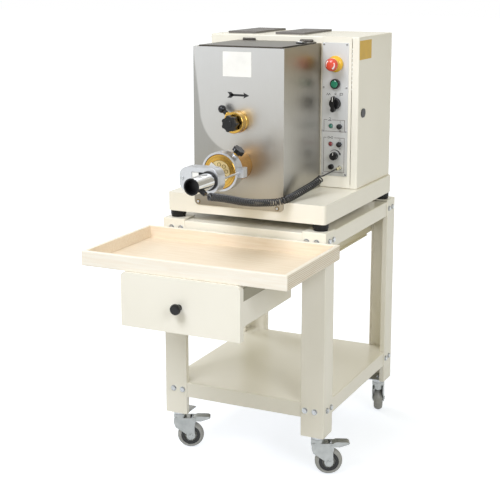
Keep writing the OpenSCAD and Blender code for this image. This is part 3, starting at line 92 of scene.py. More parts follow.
# %% Camera
camera_data = bpy.data.cameras.new("camera")
camera = bpy.data.objects.new("camera", camera_data)
scene.collection.objects.link(camera)
camera.location = at(1410.02, -3189.72, 1438.37)
LOOK_DOWN, LOOK_LEFT = 0.206066, 0.446040    # radians below the horizon and round +Z
camera.rotation_euler = (math.pi / 2 - LOOK_DOWN, 0.0, LOOK_LEFT)
camera_data.sensor_width = 36.0
camera_data.lens = 83.853
camera_data.shift_y = -0.08
camera_data.clip_end = 60.0
scene.camera = camera
scene.view_settings.view_transform = "Standard"
print("camera", [round(c, 3) for c in camera.location])


# %% [markdown]
# ## Shader helpers
# One function adds a node with its settings and links. Every material below is a
# Principled shader that starts from what the real surface is.

# %% Node helper
def add(tree, kind, sockets=None, stops=(), **settings):
    """Adds a node. A socket's value is a number, a colour or another node's output, and
    the stops of a colour ramp are [(position, hex colour), ...]."""
    node = tree.nodes.new(kind)
    for name, value in settings.items():
        setattr(node, name, value)
    for name, value in (sockets or {}).items():
        if isinstance(value, bpy.types.NodeSocket):
            tree.links.new(value, node.inputs[name])
        else:
            node.inputs[name].default_value = value
    if stops:
        elements = node.color_ramp.elements
        while len(elements) < len(stops):
            elements.new(0.5)
        for element, (position, colour) in zip(elements, stops):
            element.position = position
            element.color = to_linear(colour)
    return node


def new_material(name):
    material = bpy.data.materials.new(name)
    material.use_nodes = True
    tree = material.node_tree
    tree.nodes.clear()
    place = add(tree, "ShaderNodeTexCoord").outputs["Object"]
    return material, tree, place


def finish_material(tree, sockets):
    shader = add(tree, "ShaderNodeBsdfPrincipled", sockets)
    add(tree, "ShaderNodeOutputMaterial", {"Surface": shader.outputs[0]})


print("middle grey in linear light", [round(c, 3) for c in to_linear("#808080")])


# %% [markdown]
# ## Powder-coated sheet steel
# The stand, the pan and the cabinet are folded steel with a baked polyester powder
# coat. It levels to a satin skin with a faint orange peel about 2 mm across, and its tone
# wanders a little over a panel. The peel is drawn as a bump, because it only shows in how
# the highlights break up.

# %% Powder coat
def powder_coat(name, light, dark, roughness):
    material, tree, place = new_material(name)
    tone = add(tree, "ShaderNodeTexNoise", {"Vector": place, "Scale": 3.0, "Detail": 3.0})
    peel = add(tree, "ShaderNodeTexNoise", {"Vector": place, "Scale": 480.0, "Detail": 1.0})
    colour = add(tree, "ShaderNodeValToRGB", {"Fac": tone.outputs["Fac"]},
                 [(0.35, dark), (0.65, light)])
    bump = add(tree, "ShaderNodeBump", {"Strength": 0.03, "Distance": 0.0004,
                                        "Height": peel.outputs["Fac"]})
    finish_material(tree, {"Base Color": colour.outputs["Color"], "Roughness": roughness,
                           "Normal": bump.outputs[0]})
    return material


cream_coat = powder_coat("cream_powder_coat", "#F3EFE3", "#EFEBDE", 0.25)
# a darker, yellower copy of the cream for the drawer's carriers: painted shade under the tray
painted_shade_coat = powder_coat("cream_powder_coat_painted_shade", "#E6DFC6", "#DFD8BC", 0.4)
drive_coat = powder_coat("grey_machine_enamel", "#6F7478", "#666B70", 0.4)
# the vents' dark grey stands for the shade in their slots: painted shade
vent_shade_coat = powder_coat("grey_vent_enamel_painted_shade", "#6B6765", "#625E5C", 0.42)
print("powder coats", cream_coat.name, vent_shade_coat.name)


# %% [markdown]
# ## Brushed and turned metal
# Sheet for a vat is commonly ground in one direction with a grit of about 180, which
# leaves streaks far longer than they are wide. The streaks are stretched noise; they
# change the roughness and tilt the surface a little, and so the reflections spread across
# them. Turned parts get the same streaks round their axis, which is why the stretch is a
# setting. The vat's side is browner toward its top: that is painted shade, a tint laid
# over the upper part.

# %% Brushed steel
PAINTED_SHADE_HEIGHT = 0.2                    # over this height the tint comes up


def brushed(name, light, dark, roughness, stretch, bump_strength=0.06, painted_shade_from=None):
    material, tree, place = new_material(name)
    along = add(tree, "ShaderNodeMapping", {"Vector": place, "Scale": stretch})
    streaks = add(tree, "ShaderNodeTexNoise", {"Vector": along.outputs[0], "Scale": 1.0,
                                               "Detail": 4.0, "Roughness": 0.65})
    cloud = add(tree, "ShaderNodeTexNoise", {"Vector": place, "Scale": 5.0, "Detail": 2.0})
    both = add(tree, "ShaderNodeMix", {"Factor": 0.35, "A": streaks.outputs["Fac"],
                                       "B": cloud.outputs["Fac"]}, data_type="FLOAT")
    colour = add(tree, "ShaderNodeValToRGB", {"Fac": both.outputs["Result"]},
                 [(0.3, dark), (0.7, light)]).outputs["Color"]
    # painted shade: a darker, warmer tint over the upper part of the side
    if painted_shade_from:
        height = add(tree, "ShaderNodeSeparateXYZ", {0: place}).outputs["Z"]
        upper_shade = add(tree, "ShaderNodeMapRange", {"Value": height, "From Min": painted_shade_from,
                                                "From Max": painted_shade_from + PAINTED_SHADE_HEIGHT})
        tint = add(tree, "ShaderNodeValToRGB", {"Fac": upper_shade.outputs[0]},
                   [(0.0, "#FFFFFF"), (1.0, "#C6BBA2")])
        colour = add(tree, "ShaderNodeMix", {"Factor": 1.0, "A": colour,
                                             "B": tint.outputs["Color"]},
                     data_type="RGBA", blend_type="MULTIPLY").outputs["Result"]
    rough = add(tree, "ShaderNodeMapRange", {"Value": streaks.outputs["Fac"],
                                             "To Min": roughness - 0.04,
                                             "To Max": roughness + 0.06})
    bump = add(tree, "ShaderNodeBump", {"Strength": bump_strength, "Distance": 0.0002,
                                        "Height": streaks.outputs["Fac"]})
    finish_material(tree, {"Base Color": colour, "Metallic": 1.0,
                           "Roughness": rough.outputs["Result"], "Normal": bump.outputs[0]})
    return material


GRAIN_X = (20.0, 900.0, 900.0)
GRAIN_Z = (900.0, 900.0, 20.0)
side_steel = brushed("brushed_stainless_side", "#B8B5AE", "#A6A39C", 0.33, GRAIN_Z, painted_shade_from=1.0)
# the lid's steel is made nearly black-brown: a painted reflection of the dark surroundings it
# mirrors
lid_steel_painted_dark = brushed("ground_stainless_lid_painted_dark", "#524E48", "#47433E", 0.3, GRAIN_X)
shaft_steel = brushed("turned_stainless", "#D2D2D0", "#BEBEBC", 0.16, (900.0, 60.0, 900.0), 0.02)
chrome_tube = brushed("polished_chrome_tube", "#DADAD8", "#CECECC", 0.06, (300.0, 20.0, 300.0), 0.0)
bright_zinc = brushed("bright_zinc_screw", "#C9CBCC", "#A4A7A8", 0.24, (200.0, 200.0, 200.0), 0.04)
# the runners' zinc is dark olive: painted shade under the tray
runner_zinc_painted_shade = brushed("zinc_runner_painted_shade", "#97927F", "#868170", 0.45, (60.0, 200.0, 200.0), 0.04)
fork_steel = brushed("zinc_pressed_steel", "#B4B6B4", "#9A9D9B", 0.32, (60.0, 60.0, 60.0), 0.05)
turned_brass = brushed("turned_brass", "#D9B25C", "#AC8038", 0.2, (700.0, 60.0, 700.0), 0.03)
polished_brass = brushed("polished_brass", "#E0BC6C", "#B78A38", 0.14, (500.0, 40.0, 500.0), 0.02)
nickel_plug = brushed("nickel_plated_plug", "#E8E0BE", "#CFC59C", 0.16, (500.0, 40.0, 500.0), 0.02)
cast_bronze = brushed("turned_bronze", "#CDA05A", "#9F7233", 0.2, (800.0, 60.0, 800.0), 0.03)
die_bronze = brushed("die_bronze", "#EBD9A8", "#D9C084", 0.34, (120.0,) * 3, 0.03)
# dark bronze for the joints round the die's inserts, and painted shade in the grooves and round the
# plate's screws
joint_and_shade_bronze = brushed("bronze_dark_joints_and_painted_shade", "#8C7440", "#6E5A2E", 0.4, (300.0,) * 3, 0.03)
blasted_alloy = brushed("bead_blasted_aluminium", "#CDCED0", "#BDBFC1", 0.4, (220.0,) * 3, 0.05)
print("materials so far", len(bpy.data.materials))

# %% [markdown]
# ## The vat's front plate
# The plate is brushed sheet with the trough behind it, whose U-shaped outline shows on
# the front as a faint step in the gloss that fades out to the right. The distance from
# that outline is worked out from the object's own coordinates, and it drives the tone and
# a small bump. The plate is also duller and warmer toward its lower right corner than at
# its upper left, which is painted shade in a second, wide ramp of tone.

# %% Front plate
TROUGH_R, TROUGH_LEAN = 0.122, 0.12  # radius of the U, and how far its sides lean outward
FADE_LEFT, FADE_RIGHT = -0.08, 0.07  # the step fades out between these
U_CENTRE = at(WORK_X, 0, MIXER_Z + 30)
PAINTED_SHADE_RISE = (-0.7, 0.0, 1.9)         # how much the tone rises for each metre along x, y, z


def plate_finish():
    material, tree, place = new_material("brushed_stainless_plate")
    centred = add(tree, "ShaderNodeMapping", {"Vector": place,
                                              "Location": (-U_CENTRE.x, 0, -U_CENTRE.z)})
    parts = add(tree, "ShaderNodeSeparateXYZ", {0: centred.outputs[0]})
    below = add(tree, "ShaderNodeMath", {0: parts.outputs["Z"], 1: 0.0}, operation="MINIMUM")
    above = add(tree, "ShaderNodeMath", {0: parts.outputs["Z"], 1: 0.0}, operation="MAXIMUM")
    flat = add(tree, "ShaderNodeCombineXYZ", {"X": parts.outputs["X"], "Z": below.outputs[0]})
    reach = add(tree, "ShaderNodeVectorMath", {0: flat.outputs[0]}, operation="LENGTH")
    leaning = add(tree, "ShaderNodeMath", {0: above.outputs[0], 1: -TROUGH_LEAN,
                                           2: reach.outputs["Value"]}, operation="MULTIPLY_ADD")
    outline = add(tree, "ShaderNodeMapRange", {"Value": leaning.outputs[0],
                                               "From Min": TROUGH_R - 0.002,
                                               "From Max": TROUGH_R + 0.004},
                  interpolation_type="SMOOTHSTEP")
    fade = add(tree, "ShaderNodeMapRange", {"Value": parts.outputs["X"], "From Min": FADE_LEFT,
                                            "From Max": FADE_RIGHT, "To Min": 1.0, "To Max": 0.0})
    step = add(tree, "ShaderNodeMath", {0: outline.outputs[0], 1: fade.outputs[0]},
               operation="MULTIPLY")
    along = add(tree, "ShaderNodeMapping", {"Vector": place, "Scale": GRAIN_Z})
    streaks = add(tree, "ShaderNodeTexNoise", {"Vector": along.outputs[0], "Scale": 1.0,
                                               "Detail": 4.0, "Roughness": 0.6})
    rise = add(tree, "ShaderNodeVectorMath", {0: centred.outputs[0], 1: PAINTED_SHADE_RISE},
               operation="DOT_PRODUCT")
    level = add(tree, "ShaderNodeMapRange", {"Value": rise.outputs["Value"],
                                             "From Min": -0.50, "From Max": 0.50})
    mixed = add(tree, "ShaderNodeMix", {"Factor": 0.16, "A": level.outputs[0],
                                        "B": streaks.outputs["Fac"]}, data_type="FLOAT")
    # painted shade: warm and dark toward the lower right, light toward the upper left
    tone = add(tree, "ShaderNodeValToRGB", {"Fac": mixed.outputs["Result"]},
               [(0.1, "#B0A898"), (0.4, "#B9B7B2"), (0.9, "#CBCBCA")])
    edge = add(tree, "ShaderNodeValToRGB", {"Fac": step.outputs[0]},
               [(0.0, "#FFFFFF"), (1.0, "#D3D3D1")])
    colour = add(tree, "ShaderNodeMix", {"Factor": 1.0, "A": tone.outputs["Color"],
                                         "B": edge.outputs["Color"]},
                 data_type="RGBA", blend_type="MULTIPLY")
    rough = add(tree, "ShaderNodeMapRange", {"Value": streaks.outputs["Fac"],
                                             "To Min": 0.3, "To Max": 0.42})
    height = add(tree, "ShaderNodeMath", {0: step.outputs[0], 1: 2.0, 2: streaks.outputs["Fac"]},
                 operation="MULTIPLY_ADD")
    bump = add(tree, "ShaderNodeBump", {"Strength": 0.06, "Distance": 0.0002,
                                        "Height": height.outputs[0]})
    finish_material(tree, {"Base Color": colour.outputs["Result"], "Metallic": 1.0,
                           "Roughness": rough.outputs["Result"], "Normal": bump.outputs[0]})
    return material


plate_steel = plate_finish()
print("plate", plate_steel.name, "trough radius", TROUGH_R)


# %% [markdown]
# ## Plastics, rubber and prints
# Knobs are glass-filled nylon or phenolic, moulded with a fine spark-eroded grain.
# Lenses and mushroom heads are smooth acrylic or ABS, which keeps sharp highlights.
# Rubber is rougher and mirrors less. Screen prints take the same function without the
# grain, since ink follows the sheet under it.

# %% Moulded plastics
def moulded(name, colour, roughness, bump_strength=0.08, coat=0.0, sheen=0.5):
    material, tree, place = new_material(name)
    speckle = add(tree, "ShaderNodeTexNoise", {"Vector": place, "Scale": 900.0, "Detail": 2.0})
    tone = add(tree, "ShaderNodeTexNoise", {"Vector": place, "Scale": 25.0})
    value = add(tree, "ShaderNodeMapRange", {"Value": tone.outputs["Fac"],
                                             "To Min": 0.9, "To Max": 1.1})
    shade = add(tree, "ShaderNodeHueSaturation", {"Color": to_linear(colour),
                                                  "Value": value.outputs["Result"]})
    bump = add(tree, "ShaderNodeBump", {"Strength": bump_strength, "Distance": 0.0002,
                                        "Height": speckle.outputs["Fac"]})
    finish_material(tree, {"Base Color": shade.outputs[0], "Roughness": roughness,
                           "Normal": bump.outputs[0], "Coat Weight": coat, "Coat Roughness": 0.05,
                           "Specular IOR Level": sheen})
    return material


# sheen is how much the surface mirrors: 0.5 is plain plastic
black_nylon = moulded("black_glass_filled_nylon", "#050506", 0.36, sheen=0.35)
black_phenolic = moulded("black_phenolic_knob", "#09090A", 0.24, bump_strength=0.04, sheen=0.4)
black_boot = moulded("black_rubber_boot", "#09090A", 0.34, sheen=0.35)
black_rubber = moulded("black_rubber", "#0D0D0C", 0.5, sheen=0.3)
tyre_rubber = moulded("grey_rubber_tyre", "#A3A3A0", 0.5)
hub_plastic = moulded("grey_polypropylene_hub", "#C4C6C4", 0.34)
guard_plastic = moulded("black_thread_guard", "#1B1B1B", 0.4)
red_abs = moulded("red_abs_mushroom", "#D9482F", 0.25, bump_strength=0.01, coat=0.4)
yellow_abs = moulded("yellow_abs_collar", "#E2B21E", 0.3, bump_strength=0.01, coat=0.2)
green_lens = moulded("green_acrylic_lens", "#0E7A5A", 0.18, bump_strength=0.0, coat=0.5)
green_lamp = moulded("green_lamp_lens", "#0F6B57", 0.15, bump_strength=0.0, coat=0.6)
red_lamp = moulded("red_lamp_lens", "#7A1216", 0.15, bump_strength=0.0, coat=0.6)
print_ink = moulded("black_screen_print", "#151415", 0.45, bump_strength=0.0)
brown_ink = moulded("red_brown_screen_print", "#3A1512", 0.5, bump_strength=0.0)
white_ink = moulded("white_print", "#F1F0EC", 0.45, bump_strength=0.0)
yellow_plate = moulded("yellow_anodised_plate", "#D9AE1F", 0.4, bump_strength=0.01)
print("materials with the plastics", len(bpy.data.materials))


# %% [markdown]
# ## The control plate
# A silver plate, made here as anodised aluminium under a lacquer. It is brighter toward
# its top, which is a painted reflection set by a ramp over its height, and the grain runs up it.

# %% Control plate
PANEL_BOTTOM, PANEL_TOP = 0.83, 1.22


def panel_finish():
    material, tree, place = new_material("silver_anodised_panel")
    height = add(tree, "ShaderNodeSeparateXYZ", {0: place}).outputs["Z"]
    along = add(tree, "ShaderNodeMapping", {"Vector": place, "Scale": GRAIN_Z})
    streaks = add(tree, "ShaderNodeTexNoise", {"Vector": along.outputs[0], "Scale": 0.6,
                                               "Detail": 3.0})
    # painted reflection: the plate is brighter toward its top
    level = add(tree, "ShaderNodeMapRange", {"Value": height, "From Min": PANEL_BOTTOM,
                                             "From Max": PANEL_TOP})
    mixed = add(tree, "ShaderNodeMix", {"Factor": 0.2, "A": level.outputs[0],
                                        "B": streaks.outputs["Fac"]}, data_type="FLOAT")
    colour = add(tree, "ShaderNodeValToRGB", {"Fac": mixed.outputs["Result"]},
                 [(0.1, "#C9C9C6"), (0.5, "#D2D3D3"), (0.9, "#E2E3E4")])
    finish_material(tree, {"Base Color": colour.outputs["Color"], "Roughness": 0.33,
                           "Metallic": 0.25})
    return material


plate_coat = panel_finish()
print("panel", plate_coat.name)


# %% [markdown]
# ## Wood of the tray
# A pale sealed board, taken as beech glued up from strips under a lacquer. The grain is
# stretched noise along the board's length. At the two ends the strips show as fine dark
# lines, about 5 mm apart, so the end grain has its own finish.

# %% Wood
GRAIN_LENGTHWISE = (10.0, 160.0, 160.0)
GRAIN_ENDWISE = (160.0, 10.0, 160.0)
STRIP = 0.0051                       # height of one glued strip


def sealed_beech(name, light, dark, along, strips=False):
    material, tree, place = new_material(name)
    stretched = add(tree, "ShaderNodeMapping", {"Vector": place, "Scale": along})
    grain = add(tree, "ShaderNodeTexNoise", {"Vector": stretched.outputs[0], "Scale": 1.0,
                                             "Detail": 6.0, "Roughness": 0.6, "Distortion": 0.4})
    colour = add(tree, "ShaderNodeValToRGB", {"Fac": grain.outputs["Fac"]},
                 [(0.35, dark), (0.6, light)]).outputs["Color"]
    if strips:
        # a wave texture has 20 / tau bands to the metre at a scale of 1
        line = add(tree, "ShaderNodeTexWave", {"Vector": place,
                                               "Scale": math.tau / (20 * STRIP)},
                   bands_direction="Z")
        joint = add(tree, "ShaderNodeValToRGB", {"Fac": line.outputs["Fac"]},
                    [(0.0, "#C9BCA2"), (0.35, "#FFFFFF")])
        colour = add(tree, "ShaderNodeMix", {"Factor": 0.8, "A": colour,
                                             "B": joint.outputs["Color"]},
                     data_type="RGBA", blend_type="MULTIPLY").outputs["Result"]
    bump = add(tree, "ShaderNodeBump", {"Strength": 0.06, "Distance": 0.0004,
                                        "Height": grain.outputs["Fac"]})
    finish_material(tree, {"Base Color": colour, "Roughness": 0.42, "Normal": bump.outputs[0]})
    return material


tray_wood = sealed_beech("sealed_beech_board", "#F6F0E4", "#F3EADB", GRAIN_LENGTHWISE)
tray_floor = sealed_beech("sealed_beech_floor", "#F2E4D0", "#EBDAC2", GRAIN_LENGTHWISE)
tray_end = sealed_beech("sealed_beech_end_grain", "#EFE7D8", "#E8DCC8", GRAIN_ENDWISE, strips=True)
print("wood", tray_wood.name, tray_floor.name, tray_end.name)


# %% [markdown]
# ## Light and floor
# A strong soft lamp high in front, a weaker one at the front right, one behind the left
# and a faint one overhead, as in a product studio. The world is split by the kind of ray.
# What lights the machine is a warm ambient, so that the shaded cream turns olive. What its
# metals mirror is a pale studio that is white toward the front left, greyer at the sides
# and darkest at the back right. The camera sees plain white.

# %% World, lamps and floor
SCREENS = Vector((-0.5, -0.75, 0.35)).normalized()   # toward the white of the studio
LAMP_TINT = "#F0F4FF"                # a touch cool, against the warm ambient
GLOW_NEAR, GLOW_FAR = 0.9, 3.0       # metres from the middle of the floor
FLOOR_HALF = 30.0


def studio_world():
    world = bpy.data.worlds.new("studio_world")
    scene.world = world
    world.use_nodes = True
    tree = world.node_tree
    tree.nodes.clear()
    path = add(tree, "ShaderNodeLightPath").outputs
    towards = add(tree, "ShaderNodeTexCoord").outputs["Generated"]
    facing = add(tree, "ShaderNodeVectorMath", {0: towards, 1: SCREENS}, operation="DOT_PRODUCT")
    turned = add(tree, "ShaderNodeMapRange", {"Value": facing.outputs["Value"], "From Min": -1.0})
    studio = add(tree, "ShaderNodeValToRGB", {"Fac": turned.outputs[0]},
                 [(0.1, "#C4C0B5"), (0.28, "#F8F7F3"), (0.5, "#E4E2DC"), (0.8, "#FFFFFF")])
    ambient = add(tree, "ShaderNodeBackground", {"Color": to_linear("#EBE3B9"), "Strength": 0.48})
    mirrored = add(tree, "ShaderNodeBackground", {"Color": studio.outputs["Color"],
                                                  "Strength": 1.0})
    white = add(tree, "ShaderNodeBackground", {"Color": to_linear("#FFFFFF"), "Strength": 1.0})
    glossy = add(tree, "ShaderNodeMixShader", {0: path["Is Glossy Ray"], 1: ambient.outputs[0],
                                               2: mirrored.outputs[0]})
    seen = add(tree, "ShaderNodeMath", {0: path["Is Camera Ray"], 1: path["Is Transmission Ray"]},
               operation="MAXIMUM")
    total = add(tree, "ShaderNodeMixShader", {0: seen.outputs[0], 1: glossy.outputs[0],
                                              2: white.outputs[0]})
    add(tree, "ShaderNodeOutputWorld", {"Surface": total.outputs[0]})


def soft_lamp(name, place, aim, size, watts):
    data = bpy.data.lights.new(name, "AREA")
    data.energy = watts
    data.shape = "RECTANGLE"
    data.size, data.size_y = size
    data.color = to_linear(LAMP_TINT)[:3]
    lamp = bpy.data.objects.new(name, data)
    scene.collection.objects.link(lamp)
    lamp.location = place
    lamp.rotation_euler = (Vector(aim) - Vector(place)).to_track_quat("-Z", "Y").to_euler()


def white_floor():
    material, tree, place = new_material("white_floor")
    path = add(tree, "ShaderNodeLightPath").outputs
    seen = add(tree, "ShaderNodeMath", {0: path["Is Camera Ray"], 1: path["Is Glossy Ray"]},
               operation="MAXIMUM")
    # the floor glows more further out, so that only the shadow near the wheels is kept
    away = add(tree, "ShaderNodeVectorMath", {0: place}, operation="LENGTH")
    bright = add(tree, "ShaderNodeMapRange", {"Value": away.outputs["Value"],
                                              "From Min": GLOW_NEAR, "From Max": GLOW_FAR,
                                              "To Min": 0.76, "To Max": 1.0})
    glow = add(tree, "ShaderNodeMath", {0: seen.outputs[0], 1: bright.outputs[0]},
               operation="MULTIPLY")
    lit = add(tree, "ShaderNodeBsdfDiffuse", {"Color": to_linear("#BBBBBD")})
    own = add(tree, "ShaderNodeEmission", {"Color": to_linear("#F5F9FF"),
                                           "Strength": glow.outputs[0]})
    total = add(tree, "ShaderNodeAddShader", {0: lit.outputs[0], 1: own.outputs[0]})
    add(tree, "ShaderNodeOutputMaterial", {"Surface": total.outputs[0]})
    mesh = bpy.data.meshes.new("floor")
    mesh.from_pydata([(sx * FLOOR_HALF, sy * FLOOR_HALF, 0)
                      for sx, sy in ((-1, -1), (1, -1), (1, 1), (-1, 1))], [], [(0, 1, 2, 3)])
    floor = bpy.data.objects.new("floor", mesh)
    scene.collection.objects.link(floor)
    mesh.materials.append(material)


MIDDLE = (0.0, 0.0, 0.8)
studio_world()
soft_lamp("key_lamp", (-0.7, -3.0, 3.9), (0.0, 0.0, 1.2), (2.0, 1.6), 138)
soft_lamp("side_lamp", (3.0, -2.5, 2.5), MIDDLE, (1.8, 1.8), 66)
soft_lamp("left_lamp", (-2.8, 1.3, 1.5), (0.0, 0.0, 0.2), (1.2, 1.2), 46)
soft_lamp("top_lamp", (0.2, 0.3, 3.4), MIDDLE, (2.5, 2.5), 6)
white_floor()
print("lamps", [lamp.name for lamp in bpy.data.lights])


# %% [markdown]
# ## The curly cord
# A coil of cord about 4.2 mm thick hangs from the cutter's gland to the control panel
# and ends in a short lead with a jack plug. Its centreline is a helix round a sagging
# route. The route is made smooth first, and the helix is then carried along it with a
# frame that doesn't twist, so that the turns stay even. It narrows a little toward both
# ends, where a stretch of the line is smoothed to lead into the coil and out of it.

# %% Smooth routes
def smooth_line(points, per_span):
    """A Catmull-Rom curve through the points."""
    padded = [points[0] * 2 - points[1], *points, points[-1] * 2 - points[-2]]
    line = []
    for i in range(1, len(padded) - 2):
        a, b, c, d = padded[i - 1:i + 3]
        for k in range(per_span):
            t = k / per_span
            line.append(0.5 * (2 * b + (c - a) * t + (2 * a - 5 * b + 4 * c - d) * t * t
                               + (3 * b - a - 3 * c + d) * t ** 3))
    line.append(points[-1].copy())
    return line


def even_steps(line, step):
    """The same line with points a fixed step apart."""
    out, left = [line[0].copy()], step
    for a, b in zip(line, line[1:]):
        span = (b - a).length
        while span >= left > 0:
            a = a.lerp(b, left / span)
            out.append(a.copy())
            span = (b - a).length
            left = step
        left -= span
    return out


print("points in a metre of 0.1 m steps", len(even_steps([Vector(), Vector((1, 0, 0))], 0.1)))

# %% Route of the coil
COIL_ROUTE = [(54, -612, 868), (59, -608, 864.5), (62.5, -598, 862), (64, -580, 858),
              (67, -550, 851), (72, -505, 839), (78, -450, 824), (88, -395, 812),
              (101, -350, 805), (116, -318, 802), (134, -296, 806), (141, -255, 810),
              (147, -220, 816), (154, -190, 822), (162, -155, 830), (168, -132, 838),
              (172.6, -113.4, 847.2)]
LEAD_ROUTE = [(178, -96, 850.5), (183, -78, 854), (186.6, -62, 856.8), (187.5, -49, 857.5)]
CORD_THICK, COIL_RADIUS, COIL_PITCH = 4.2, 8.9, 8.6
PER_TURN = 18                        # points in one turn of the coil
GLAND_END, GLAND_AIM = Vector((51.6, -612, 870.2)), Vector((0.8, 0, -0.6))
START_SKIP = 8                       # points of the helix that the straight start replaces
START_BEND, START_ROUNDS = (2, 15), 600          # a stretch of points, and rounds of relaxing
END_BEFORE, END_AFTER, END_ROUNDS = 24, 8, 160   # points round the coil's end, and rounds
print("route of", len(COIL_ROUTE), "points, pitch", COIL_PITCH, "mm")


# %% Centreline
def relaxed(line, first, last, rounds):
    """Relaxes one stretch as a stiff wire, with the directions of its ends kept."""
    for _ in range(rounds):
        line[first:last] = [line[i] - (line[i - 2] - 4 * line[i - 1] + 6 * line[i] - 4 * line[i + 1]
                                       + line[i + 2]) / 12 for i in range(first, last)]


def eased(line, first, last, rounds):
    """Draws each point of one stretch to the middle of its neighbours."""
    for _ in range(rounds):
        line[first:last] = [(line[i - 1] + line[i + 1]) / 2 for i in range(first, last)]


def curly_line():
    """The cord's centreline, and the coil's middle beside each of its points."""
    axis = even_steps(smooth_line([Vector(p) for p in COIL_ROUTE], 12), COIL_PITCH / PER_TURN)
    helix, middles, side = [], [], None
    for i, point in enumerate(axis):
        ahead = (axis[min(i + 1, len(axis) - 1)] - axis[max(i - 1, 0)]).normalized()
        if side is None:
            side = ahead.cross(Vector((0, 0, 1))).normalized()
        side = (side - ahead * side.dot(ahead)).normalized()
        other = ahead.cross(side)
        turn = i * math.tau / PER_TURN
        # the coil is narrower at both ends
        swell = min(1.0, 0.6 + i / 30, 0.35 + (len(axis) - 1 - i) / 40)
        middles.append(point)
        helix.append(point + COIL_RADIUS * swell * (math.cos(turn) * side + math.sin(turn) * other))
    lead = smooth_line([helix[-1]] + [Vector(p) for p in LEAD_ROUTE], 8)[1:]
    straight = [GLAND_END + GLAND_AIM * step for step in (0, 2, 4)]
    line = straight + helix[START_SKIP:] + lead
    coil_end = len(line) - len(lead)
    relaxed(line, *START_BEND, START_ROUNDS)
    eased(line, coil_end - END_BEFORE, coil_end + END_AFTER, END_ROUNDS)
    return line, straight + middles[START_SKIP:] + lead


cord_line, coil_middles = curly_line()
print("centreline of", len(cord_line), "points")

# %% [markdown]
# The cord is skinned as a tube of eight-sided rings along that line. Each ring stands
# across the line, and keeps on every corner an `outer` value, which says how far it faces
# away from the coil's middle. The finish reads it: the crest of each turn is glossy and a
# little greyer, which is a painted highlight, and the cord is deep black and dull between
# the turns, which is painted shade, so that the eye can tell them apart.

# %% Cord finish
def cord_finish():
    material, tree, place = new_material("black_polyurethane_cord")
    crest = add(tree, "ShaderNodeAttribute", attribute_name="outer").outputs["Fac"]
    speckle = add(tree, "ShaderNodeTexNoise", {"Vector": place, "Scale": 700.0, "Detail": 2.0})
    speckle_and_painted_crest = add(tree, "ShaderNodeMath", {0: speckle.outputs["Fac"], 1: 0.12, 2: crest},
                  operation="MULTIPLY_ADD")
    # painted highlight on each turn's crest and painted shade between the turns
    colour = add(tree, "ShaderNodeValToRGB", {"Fac": speckle_and_painted_crest.outputs[0]},
                 [(0.6, "#020202"), (1.0, "#0C0C0C")])
    rough = add(tree, "ShaderNodeMapRange", {"Value": crest, "To Min": 0.7, "To Max": 0.12})
    finish_material(tree, {"Base Color": colour.outputs["Color"], "Roughness": rough.outputs[0],
                           "Specular IOR Level": 0.9})
    return material


cord_black = cord_finish()
print("cord finish", cord_black.name)

# %% Cord
SIDES = 8


def cord_tube(line, middles):
    """A closed tube along the line, with the value `outer` on its corners."""
    shell = bmesh.new()
    crest_of = shell.verts.layers.float.new("outer")
    rings = []
    out = Vector((0, 0, 1))
    for i, point in enumerate(line):
        ahead = (line[min(i + 1, len(line) - 1)] - line[max(i - 1, 0)]).normalized()
        out = (out - ahead * out.dot(ahead)).normalized()
        other = ahead.cross(out)
        away = point - middles[i]
        away = away.normalized() if away.length > 1 else Vector()
        ring = []
        for k in range(SIDES):
            a = k * math.tau / SIDES
            spoke = math.cos(a) * out + math.sin(a) * other
            corner = shell.verts.new(at(*(point + CORD_THICK / 2 * spoke)))
            corner[crest_of] = 0.5 + 0.5 * spoke.dot(away)
            ring.append(corner)
        rings.append(ring)
    for low, high in zip(rings, rings[1:]):
        for k in range(SIDES):
            shell.faces.new((low[k], low[(k + 1) % SIDES], high[(k + 1) % SIDES], high[k]))
    shell.faces.new(rings[0][::-1])
    shell.faces.new(rings[-1])
    bmesh.ops.recalc_face_normals(shell, faces=shell.faces)
    mesh = bpy.data.meshes.new("curly_cord")
    shell.to_mesh(mesh)
    shell.free()
    mesh.materials.append(cord_black)
    mesh.polygons.foreach_set("use_smooth", [True] * len(mesh.polygons))
    return mesh


def make_cord(line, middles):
    cord = bpy.data.objects.new("curly_cord", cord_tube(line, middles))
    scene.collection.objects.link(cord)
    path = [at(*point) for point in line]
    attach(cord, "machine")
    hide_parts("cord_coil", "cord_lead")


make_cord(cord_line, coil_middles)


# %% [markdown]
# ## Folded sheet
# Sheet that is bent on a press brake has a round outside corner, about one and a half
# times the sheet's thickness. The solids have sharp corners there, so each folded piece
# is rebuilt: its triangles are merged to whole faces, and every long outside edge
# between two wide faces is rounded. The cut edges of the sheet keep a fine chamfer. The
# corner normals are led by the widest faces, so that those stay flat, and only the narrow
# ones turn the light.

# %% Merged copies
SAME_POINT, SAME_PLANE = 2e-6, math.radians(0.5)


def face_width(face):
    return face.calc_area() / max(edge.calc_length() for edge in face.edges)


def merged_mesh(node_name):
    shell = bmesh.new()
    shell.from_mesh(nodes[node_name].data)
    bmesh.ops.remove_doubles(shell, verts=shell.verts, dist=SAME_POINT)
    bmesh.ops.dissolve_limit(shell, angle_limit=SAME_PLANE, verts=shell.verts,
                             edges=shell.edges, delimit={"MATERIAL"})
    return shell


def outside_rims(shell, least_angle):
    return [edge for edge in shell.edges if len(edge.link_faces) == 2 and edge.is_convex
            and edge.calc_face_angle() > math.radians(least_angle)]


def bevel(shell, edges, width, segments):
    bmesh.ops.bevel(shell, geom=edges, offset=width * MM, segments=segments, profile=0.5,
                    affect="EDGES", clamp_overlap=True)


